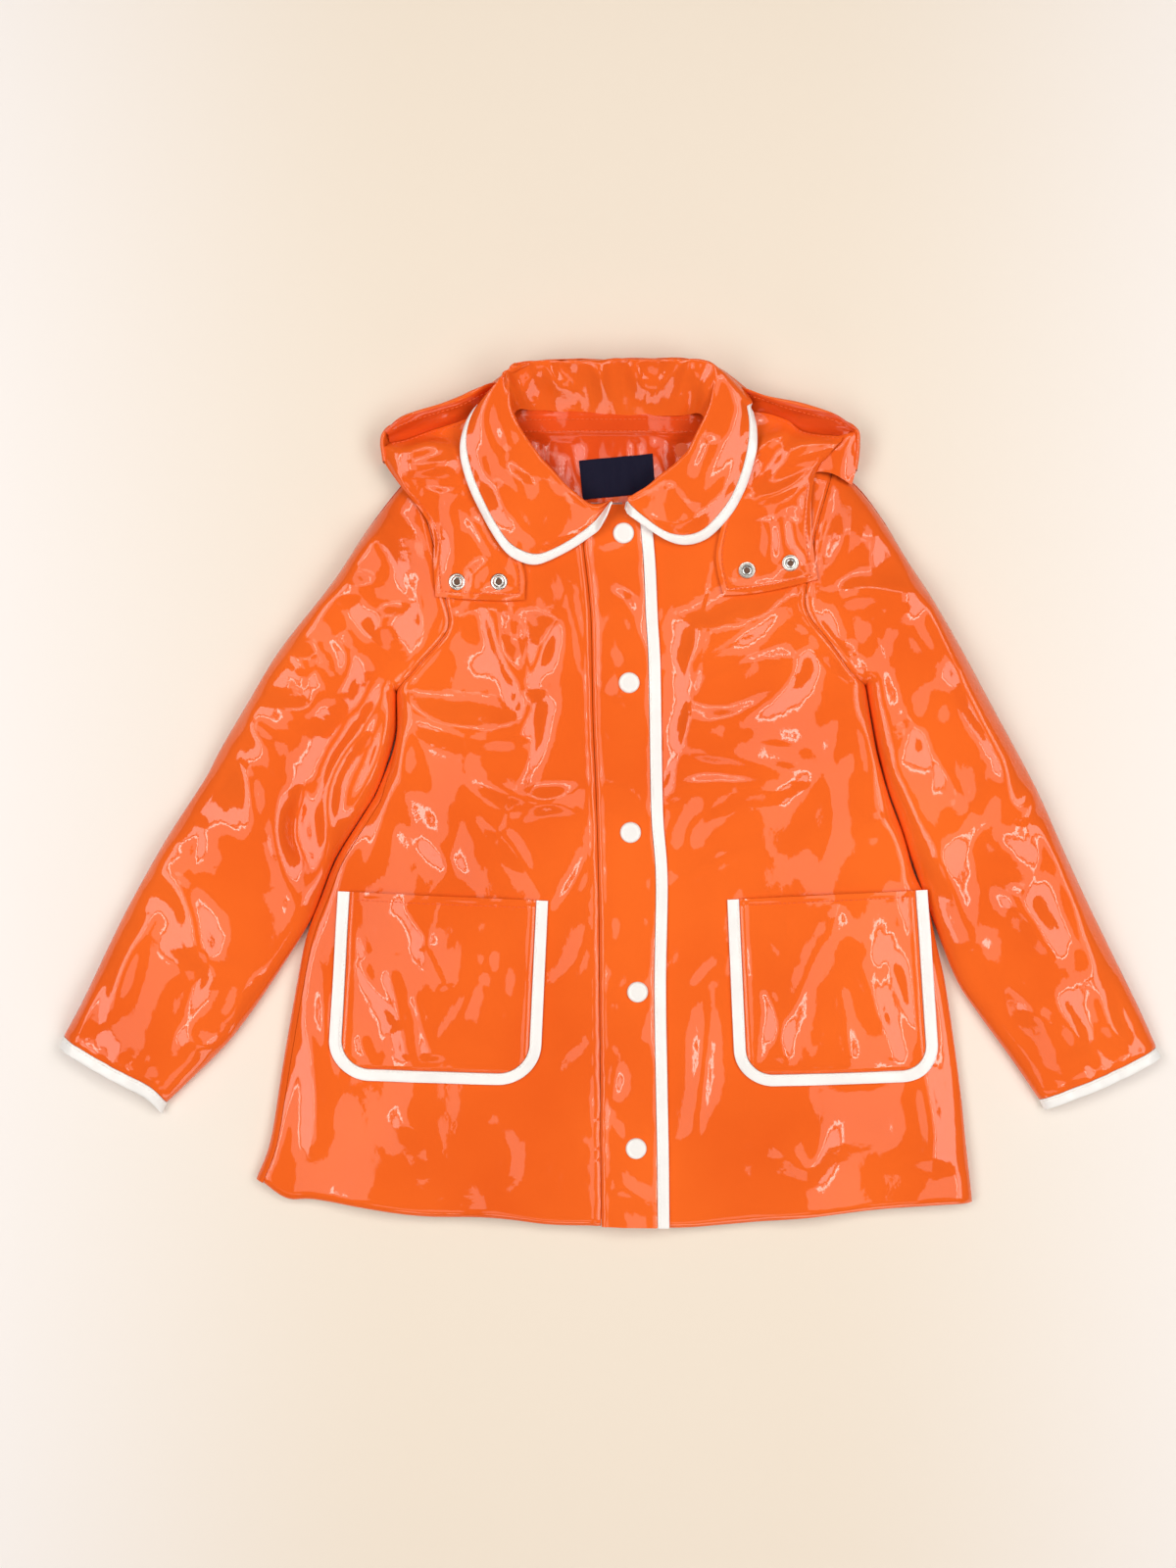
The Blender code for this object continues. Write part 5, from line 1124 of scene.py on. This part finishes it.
def hood_corner(side, towards):
    """The hood's outer wall round a corner, with a lip that runs down inside its rim."""
    path = at(smooth(HOOD_CORNERS[side]), even(60))
    step = unit(np.gradient(path[:, :2], axis=0))
    inward = np.column_stack([-step[:, 1], step[:, 0]]) * towards
    grid = [np.column_stack([path[:, :2] + inward * inset, path[:, 2] * share - drop])
            for inset, share, drop in CORNER_SECTION]
    grid = np.stack([at(smooth(column), even(40)) for column in np.stack(grid, 1)], 1)
    shell("cloth_hood_corner_" + side, grid, SHELL, "vinyl")


def hood_centre():
    """The hood's far rim, which leans towards the collar at its ends."""
    path = at(smooth(HOOD_CENTRE), even(120))
    x, y = plan(path)
    from_end = np.minimum(even(120), even(120)[::-1])
    tops = HOOD_CENTRE_TOP - 9 * (1 - ease(from_end / 0.2)) + noise(x, y, 26, 0.4)
    share = even(24)
    lean = (0.4 + 4.0 * (1 - ease(from_end / 0.3)))[:, None] * ease((share - 0.55) / 0.45)
    grid = np.dstack([x[:, None] - 0.4 * lean * np.sign(x)[:, None], y[:, None] - lean,
                      tops[:, None] * share])
    grid[..., 1] += 0.9 * noise(grid[..., 0], 0.6 * grid[..., 2], 24, 6.6)
    shell("cloth_hood_centre", grid, SHELL, "vinyl", "hood_centre")


# Section of the hidden pile, a cloth folded over itself: columns inset, height
PILE_SECTION = [(26, 0.02), (8, 0.02), (2.0, 0.02), (0.6, 0.3), (0.2, 0.8), (0.6, 1.3), (1.6, 1.45),
                (1.0, 1.7), (0.9, 2.1), (1.6, 2.5), (2.6, 2.62), (2.2, 2.9), (2.4, 3.3), (4, 3.55),
                (12, 3.6), (26, 3.6)]


def hood_pile():
    """Hidden part of the hood: its cloth folded over itself as a flat rounded pile."""
    turn = np.repeat(np.arange(4), 13)
    angle = np.pi / 2 * (turn + np.tile(even(13), 4))
    circle = np.column_stack([np.cos(angle), np.sin(angle)])
    quarters = np.array([(1, 1), (-1, 1), (-1, -1), (1, -1)])[turn]
    rings = []
    for inset, z in PILE_SECTION:
        corner = max(CROWN_CORNER - inset, 4)
        ring = CROWN_CENTRE + quarters * (CROWN_HALF - inset - corner) + corner * circle
        rings.append(np.column_stack([ring, np.full(52, z)]))
    ends = [(*CROWN_CENTRE, height) for height in (FLOOR_CLEAR, CROWN_HEIGHT)]
    tube("cloth_hood_crown", np.array(rings), ends, "facing", "hood_crown")


def trim_line(points, height, times=0):
    """A line on the fronts at the height of a binding's base."""
    rise = evened(height(*plan(points)) + TAPE_SEAT, times)
    return np.column_stack([points, rise])


def upright(run, shift, least, size):
    """Upward directions along a binding, whose depth varies a little."""
    up = np.zeros((len(run), 3))
    up[:, 2] = least + 0.1 * noise(run, run * 0, size, shift)
    return up


def pocket(side):
    """Patch pocket and its white binding, both laid on the front."""
    *corners, radius = POCKETS[side]
    corners = np.array(corners, float)
    wide, tall = norm(corners[1] - corners[0]), norm(corners[3] - corners[0])
    inset = BINDING_WIDTH + GAP
    inner_radius = radius - inset
    straight = tall - inset - inner_radius
    arc = inner_radius * np.sin(np.linspace(0, np.pi / 2, 22))
    down = np.concatenate([straight * even(74)[:-1], straight + arc])[:, None]
    narrow = np.maximum(down - straight, 0)
    cut = inner_radius - np.sqrt(np.maximum(inner_radius ** 2 - narrow ** 2, 0))
    shares = even(96)
    across = mix(inset + cut, wide - inset - cut, shares)
    down = np.repeat(down, 96, axis=1)
    x, y = plan(flat_patch(corners, across / wide, down / tall))
    from_side = np.minimum(across - inset, wide - inset - across)
    from_low = np.minimum(from_side, tall - inset - down)
    own = (0.9 * ridges(x, y, POCKET_FOLDS[side], power=1.7, bend=0.16)
           + 1.3 * stretched(x, y, 0.15, 34, 76, 2.9))
    swell = POCKET_SWELL * np.sin(np.pi * shares) * np.cos(np.pi * down / tall / 2) ** 0.5
    lifted = swell * ease(to_end(shares) / 0.12) + own * ease(from_low / 15)
    lifted = 0.5 * (lifted + np.sqrt(lifted ** 2 + 0.4)) - 0.3
    z = tab_surface(x, y) + lifted + 0.72 * seam_roll(np.maximum(from_low, 0))
    z = z - 0.35 * hump(down, POCKET_HEM, 1.1) + 0.9 * hump(down, 0, 3.5)
    grid = np.dstack([x, y, z])
    shell("cloth_pocket_" + side, grid, SHELL, "vinyl", "pocket_" + side)
    row = int(np.argmin(np.abs(down[:, 0] - POCKET_HEM)))
    stitches("pocket_hem_" + side, grid[row, 3:-3] + (0, 0, 0.15), "orange_thread")

    lines = []
    for inward in (BINDING_WIDTH, 0.0):
        sides = (tall - radius) * even(60)[:-1]
        arc = np.linspace(0, np.pi / 2, 28)
        over, out = (radius - inward) * np.sin(arc), (radius - inward) * np.cos(arc)
        floor = np.linspace(radius, wide - radius, 50)[1:-1]
        across = [0 * sides + inward, radius - out, floor, wide - radius + over,
                  0 * sides + wide - inward]
        down = [sides, tall - radius + over, 0 * floor + tall - inward, tall - radius + out,
                sides[::-1]]
        line = flat_patch(corners, np.concatenate(across) / wide, np.concatenate(down) / tall)
        lines.append(trim_line(line, front_surface, 3))
    up = upright(lengths(lines[1]), 3.0, 1.0, 11)
    tape("pocket_" + side, *lines, up, BINDING_DEPTH, "pocket_binding_" + side,
         (0, 0, BINDING_DEPTH * 0.78))


def placket():
    """The doubled strip on the left front, and the binding along its free edge."""
    seam, edge = (at(PATH[name], even(300)) for name in ("placket_seam", "placket_edge"))
    near = [0, 0.4, 0.9, 1.6, 2.4, 3.4, 4.6, *np.linspace(6.5, PLACKET_WIDTH, 18)]
    shares = np.array(near) / PLACKET_WIDTH
    x, y = plan(mix(seam[:, None] + (GAP, 0), edge[:, None] - (GAP, 0), shares[:, None]))
    own = noise(0.6 * x, y, 16, 1.4) * ease(shares / 0.3) * ease((1 - shares) / 0.3)
    z = cloth_height(x, y) + GAP / 2 + PLACKET_STEP + own + 0.2
    z = z + seam_relief(x, y, PATH["placket_seam"], 1.0)
    z = z - 0.5 * hump((1 - shares) * PLACKET_WIDTH, 0, 1.4)
    shell("cloth_placket", np.dstack([x, y, z]), 1.0, "vinyl", "placket")
    inner, outer = (trim_line(line, cloth_height) for line in (edge, edge + (BINDING_WIDTH, 0)))
    up = upright(edge[:, 1], 5.0, 1.1, 12)
    tape("placket", inner, outer, up, BINDING_DEPTH, "placket_binding", (0, 0, BINDING_DEPTH * 0.86))


def seated(surface, x, y, radius):
    """Where a flat disc rests just clear of a surface: its centre and its upward direction."""
    step = radius * 0.8
    slope_x = (surface(x + step, y) - surface(x - step, y)) / (2 * step)
    slope_y = (surface(x, y + step) - surface(x, y - step)) / (2 * step)
    turns = np.linspace(0, 2 * np.pi, 24, endpoint=False)
    dx, dy = (radius * np.outer((0, 0.35, 0.7, 1.05), wave(turns)) for wave in (np.cos, np.sin))
    rise = np.max(surface(x + dx, y + dy) - slope_x * dx - slope_y * dy)
    return np.array([x, y, rise + GAP]), unit(np.array([-slope_x, -slope_y, 1.0]))


# Profiles of the fasteners: columns radius, height
CAP_PROFILE = [(0, 2.0), (1.5, 2.0), (3.4, 1.98), (4.6, 1.86), (5.2, 1.86), (5.7, 2.12), (6.3, 2.12),
               (6.9, 1.75), (7.3, 1.1), (7.5, 0.5), (7.5, -0.8), (0, -0.8)]
STUD_PROFILE = [(0, 0.2), (1.9, 0.2), (2.1, 0.9), (2.4, 1.7), (2.9, 1.95), (3.6, 1.85), (4.1, 1.3),
                (4.4, 1.05), (4.8, 1.2), (5.4, 1.15), (5.9, 0.8), (6.2, 0.3), (6.25, -0.8), (0, -0.8)]
SOCKET_PROFILE = [(0, -0.2), (1.4, -0.2), (1.8, 0.2), (2.1, 1.3), (2.6, 1.6), (3.3, 1.4), (3.9, 0.75),
                  (4.6, 0.75), (5.2, 1.35), (5.7, 1.3), (6.15, 0.6), (6.25, -0.8), (0, -0.8)]
# Profile of the dark disc that paints the shade in each snap's recess
SHADE_DISC_PROFILE = [(0, 0.75), (1.0, 0.7), (1.95, 0.55), (2.1, 0.1), (0, 0.1)]


def fasteners():
    """White caps down the placket and metal snaps on the hood's tabs, each with a dark disc in its
    middle that paints the shade of its recess.
    """
    for number, (x, y) in enumerate(SNAP_CAPS, 1):
        seat = seated(front_surface, x, y, SNAP_CAP_RADIUS)
        turned("cap_%d" % number, seat, CAP_PROFILE, "plastic", "snap_cap_%d" % number)
    for side, profile, look in (("right", STUD_PROFILE, "metal"), ("left", SOCKET_PROFILE, "socket")):
        for number, (x, y) in enumerate(HOOD_SNAPS[side], 1):
            seat = seated(tab_surface, x, y, HOOD_SNAP_RADIUS)
            which = "%s_%d" % (side, number)
            turned("metal_" + which, seat, profile, look, "hood_snap_" + which)
            # Painted shade: a dark disc set in the snap's recess
            turned("shade_disc_" + which, seat, SHADE_DISC_PROFILE, "painted_hole_shade", None, 20)


LABEL_SIZE = (52, 27)   # for the width of the labels' folded edges


def label(name, corners, look):
    """Woven label with folded edges, laid on the inside of the back."""
    s, t = np.meshgrid(even(44), even(30))
    x, y = plan(flat_patch(np.array(corners, float), s, t))
    edge = np.minimum(to_end(s) * LABEL_SIZE[0], to_end(t) * LABEL_SIZE[1])
    z = under_height(x, y) + neck_folds(x, y) + SHELL + 1.3
    z = z + 0.5 * noise(x, y, 22, 9.1) - 0.35 * hump(edge, 0, 0.8)
    shell("patch_" + name, np.dstack([x, y, z]), 0.6, look, name)


# ---------------------------------------------------------------- looks

LOOKS = {}

# Columns name, colour, roughness, metallic, then the two colours that it drifts between and the
# scale of that drift, or nothing, then scale and detail of its grain, strength and depth in metres
LOOK_TABLE = [
    ("vinyl", (0.87, 0.13, 0.014), 0.055, 0, ((0.82, 0.112, 0.012), (0.92, 0.15, 0.018), 7.0),
     140.0, 2.0, 0.10, 0.0012),
    # Darker copy of the vinyl: painted shade for the cloth seen inside the neck and inside the hood's
    # bands
    ("inside", (0.66, 0.06, 0.008), 0.12, 0, ((0.66, 0.06, 0.008), (0.82, 0.09, 0.012), 14.0),
     170.0, 2.0, 0.12, 0.0012),
    # Dark disc colour: painted shade in the recess of each hood snap
    ("painted_hole_shade", (0.12, 0.05, 0.025), 0.5, 0, None, 900.0, 1.0, 0.2, 0.0002),
    ("facing", (0.8, 0.11, 0.02), 0.3, 0, ((0.72, 0.09, 0.012), (0.86, 0.13, 0.02), 12.0),
     300.0, 2.0, 0.2, 0.0006),
    ("binding", (0.9, 0.89, 0.87), 0.32, 0, ((0.86, 0.855, 0.85), (0.93, 0.925, 0.92), 40.0),
     420.0, 3.0, 0.22, 0.0006),
    ("thread", (0.9, 0.88, 0.84), 0.6, 0, None, 1500.0, 1.0, 0.3, 0.0002),
    ("orange_thread", (0.85, 0.13, 0.02), 0.6, 0, None, 1500.0, 1.0, 0.3, 0.0002),
    ("plastic", (0.88, 0.87, 0.86), 0.22, 0, None, 260.0, 2.0, 0.08, 0.0005),
    ("metal", (0.68, 0.68, 0.67), 0.27, 1, None, 700.0, 3.0, 0.08, 0.0003),
    ("socket", (0.66, 0.66, 0.65), 0.28, 1, None, 700.0, 3.0, 0.1, 0.0003),
    ("navy", (0.005, 0.005, 0.022), 0.7, 0, None, None, None, 0.35, 0.0003),
    ("grey", (0.45, 0.33, 0.33), 0.7, 0, None, None, None, 0.35, 0.0003),
]


class Material:
    """A material, its main shader, and the object coordinates that its other nodes read."""

    def __init__(self, name, **values):
        self.made = bpy.data.materials.new(name)
        self.made.use_nodes = True
        self.tree = self.made.node_tree
        self.shader = self.tree.nodes["Principled BSDF"]
        self.where = self.tree.nodes.new("ShaderNodeTexCoord")
        for socket, value in values.items():
            self.shader.inputs[socket.replace("_", " ")].default_value = value

    def join(self, output, socket):
        self.tree.links.new(output, socket)

    def node(self, kind, source=None, **values):
        """A node that reads the source, with values for its sockets."""
        made = self.tree.nodes.new("ShaderNode" + kind)
        for socket, value in values.items():
            made.inputs[socket].default_value = value
        if source is not None:
            self.join(source, made.inputs[0 if kind != "Bump" else "Height"])
        return made

    def ramp(self, source, low, high, ends):
        """Base colour that runs from low to high as the source passes between its two ends."""
        made = self.node("ValToRGB", source)
        for element, colour, position in zip(made.color_ramp.elements, (low, high), ends):
            element.position = position
            element.color = (*colour, 1.0)
        self.join(made.outputs["Color"], self.shader.inputs["Base Color"])
        return made


def make_looks():
    """Each look: a shader, a colour that drifts with noise, and a fine grain or weave."""
    for name, colour, roughness, metallic, drift, scale, detail, strength, depth in LOOK_TABLE:
        look = Material("look_" + name, Base_Color=(*colour, 1.0), Roughness=roughness,
                        Metallic=metallic, IOR=1.5)
        where = look.where.outputs["Object"]
        if drift:
            low, high, drift_scale = drift
            cloud = look.node("TexNoise", where, Scale=drift_scale, Detail=3.0)
            look.ramp(cloud.outputs["Fac"], low, high, (0.3, 0.7))
        if scale:
            grain = look.node("TexNoise", where, Scale=scale, Detail=detail)
        else:
            look.shader.inputs["Specular IOR Level"].default_value = 0.15
            grain = look.node("TexWave", where, Scale=420.0, Distortion=1.5)
        bump = look.node("Bump", grain.outputs["Fac"], Strength=strength, Distance=depth)
        look.join(bump.outputs["Normal"], look.shader.inputs["Normal"])
        LOOKS[name] = look.made


# ---------------------------------------------------------------- light, floor and camera

# Softboxes: columns name, place, target, size across and along in metres, radiance, colour
LIGHTS = [
    ("light_left", (-0.74, 0.00, 1.84), (0.0, 0.0, 0.0), (0.60, 1.9), 1.75, (1.0, 0.93, 0.83)),
    ("light_right", (0.74, 0.00, 1.84), (0.0, 0.0, 0.0), (0.60, 1.9), 1.75, (1.0, 0.93, 0.83)),
    ("outer_left", (-1.36, 0.00, 1.62), (0.0, 0.0, 0.0), (0.62, 2.1), 4.0, (1.0, 0.98, 0.96)),
    ("outer_right", (1.36, 0.00, 1.62), (0.0, 0.0, 0.0), (0.62, 2.1), 4.0, (1.0, 0.98, 0.96)),
    ("strip_left", (-0.90, 0.10, 1.70), (0.0, 0.0, 0.0), (0.07, 1.5), 9.0, (1.0, 0.98, 0.97)),
    ("strip_right", (0.90, -0.10, 1.70), (0.0, 0.0, 0.0), (0.07, 1.5), 9.0, (1.0, 0.98, 0.97)),
    ("light_far", (0.0, 1.04, 1.80), (0.0, 0.0, 0.0), (1.3, 0.60), 1.9, (1.0, 0.93, 0.84)),
    ("strip_far", (0.1, 0.98, 1.66), (0.0, 0.0, 0.0), (1.0, 0.05), 8.0, (1.0, 0.96, 0.92)),
    ("light_near", (0.0, -1.55, 1.66), (0.0, 0.0, 0.0), (1.1, 0.5), 1.5, (1.0, 0.92, 0.85)),
    ("low_near", (0.35, -2.30, 0.55), (0.0, 0.2, 0.0), (1.6, 0.6), 2.6, (1.0, 0.95, 0.90)),
]
ROOM_COLOUR = (0.9, 0.78, 0.68, 1.0)
ROOM_STRENGTH = 0.09
# Floor colour with painted light: darker and warmer in the middle, lighter towards the sides under the
# side lamps
FLOOR_SHADED_MIDDLE = (0.835, 0.75, 0.645)
FLOOR_LIT_SIDES = (0.92, 0.91, 0.935)
FLOOR_ENDS = (0.12, 0.62)   # metres from the middle line between which the painted light on the floor changes from the shaded middle to the lit sides
EYE = (-0.0154, 0.0056, 1.571)


def area_light(name, middle, target, size, radiance, colour):
    light = bpy.data.lights.new(name, "AREA")
    light.shape = "RECTANGLE"
    light.size, light.size_y = size
    light.energy = radiance * np.pi * size[0] * size[1]
    light.color = colour
    made = placed(name, light)
    made.location = middle
    forward = unit(np.subtract(middle, target))
    side = unit(np.cross((0.0, 1.0, 0.0), forward))
    axes = np.column_stack([side, np.cross(forward, side), forward])
    made.rotation_euler = Matrix(axes.tolist()).to_euler()


def light_and_camera():
    for row in LIGHTS:
        area_light(*row)
    scene = bpy.context.scene
    scene.world = bpy.data.worlds.new("room")
    scene.world.use_nodes = True
    room = scene.world.node_tree.nodes["Background"]
    room.inputs["Color"].default_value = ROOM_COLOUR
    room.inputs["Strength"].default_value = ROOM_STRENGTH

    bpy.ops.mesh.primitive_plane_add(size=8.0, location=(0, 0, -0.0004))
    floor = bpy.context.object
    floor.name = "floor"
    # Painted light: the floor's colour runs from a darker middle to lighter sides
    floor_light_paint = Material("floor_light_paint", Roughness=0.7, Specular_IOR_Level=0.2)
    split = floor_light_paint.node("SeparateXYZ", floor_light_paint.where.outputs["Object"])
    aside = floor_light_paint.node("Math", split.outputs["X"])
    aside.operation = "ABSOLUTE"
    shade = floor_light_paint.ramp(aside.outputs["Value"], FLOOR_SHADED_MIDDLE, FLOOR_LIT_SIDES, FLOOR_ENDS)
    shade.color_ramp.interpolation = "EASE"
    floor.data.materials.append(floor_light_paint.made)

    camera = bpy.data.cameras.new("view")
    camera.lens = 50.0
    camera.sensor_fit = "VERTICAL"
    camera.sensor_height = 36.0
    scene.camera = placed("view", camera)
    scene.camera.location = EYE
    scene.view_settings.view_transform = "Standard"
    scene.view_settings.look = "None"


# ---------------------------------------------------------------- the coat

make_looks()
front("right")
front("left")
back()
neck_inside()
sleeve("right", -1)
sleeve("left", 1)
placket()
pocket("right")
pocket("left")
collar()
hood_side("right")
hood_side("left")
hood_strip("hood_hem_left", HOOD_HEM_LEFT, 40, 26)
hood_strip("hood_band_right", HOOD_BAND["right"], 90, 60)
hood_strip("hood_band_left", HOOD_BAND["left"], 90, 60)
hood_corner("right", 1)
hood_corner("left", -1)
hood_centre()
hood_pile()
fasteners()
label("neck_label", NECK_LABEL, "navy")
label("size_label", SIZE_LABEL, "grey")
light_and_camera()
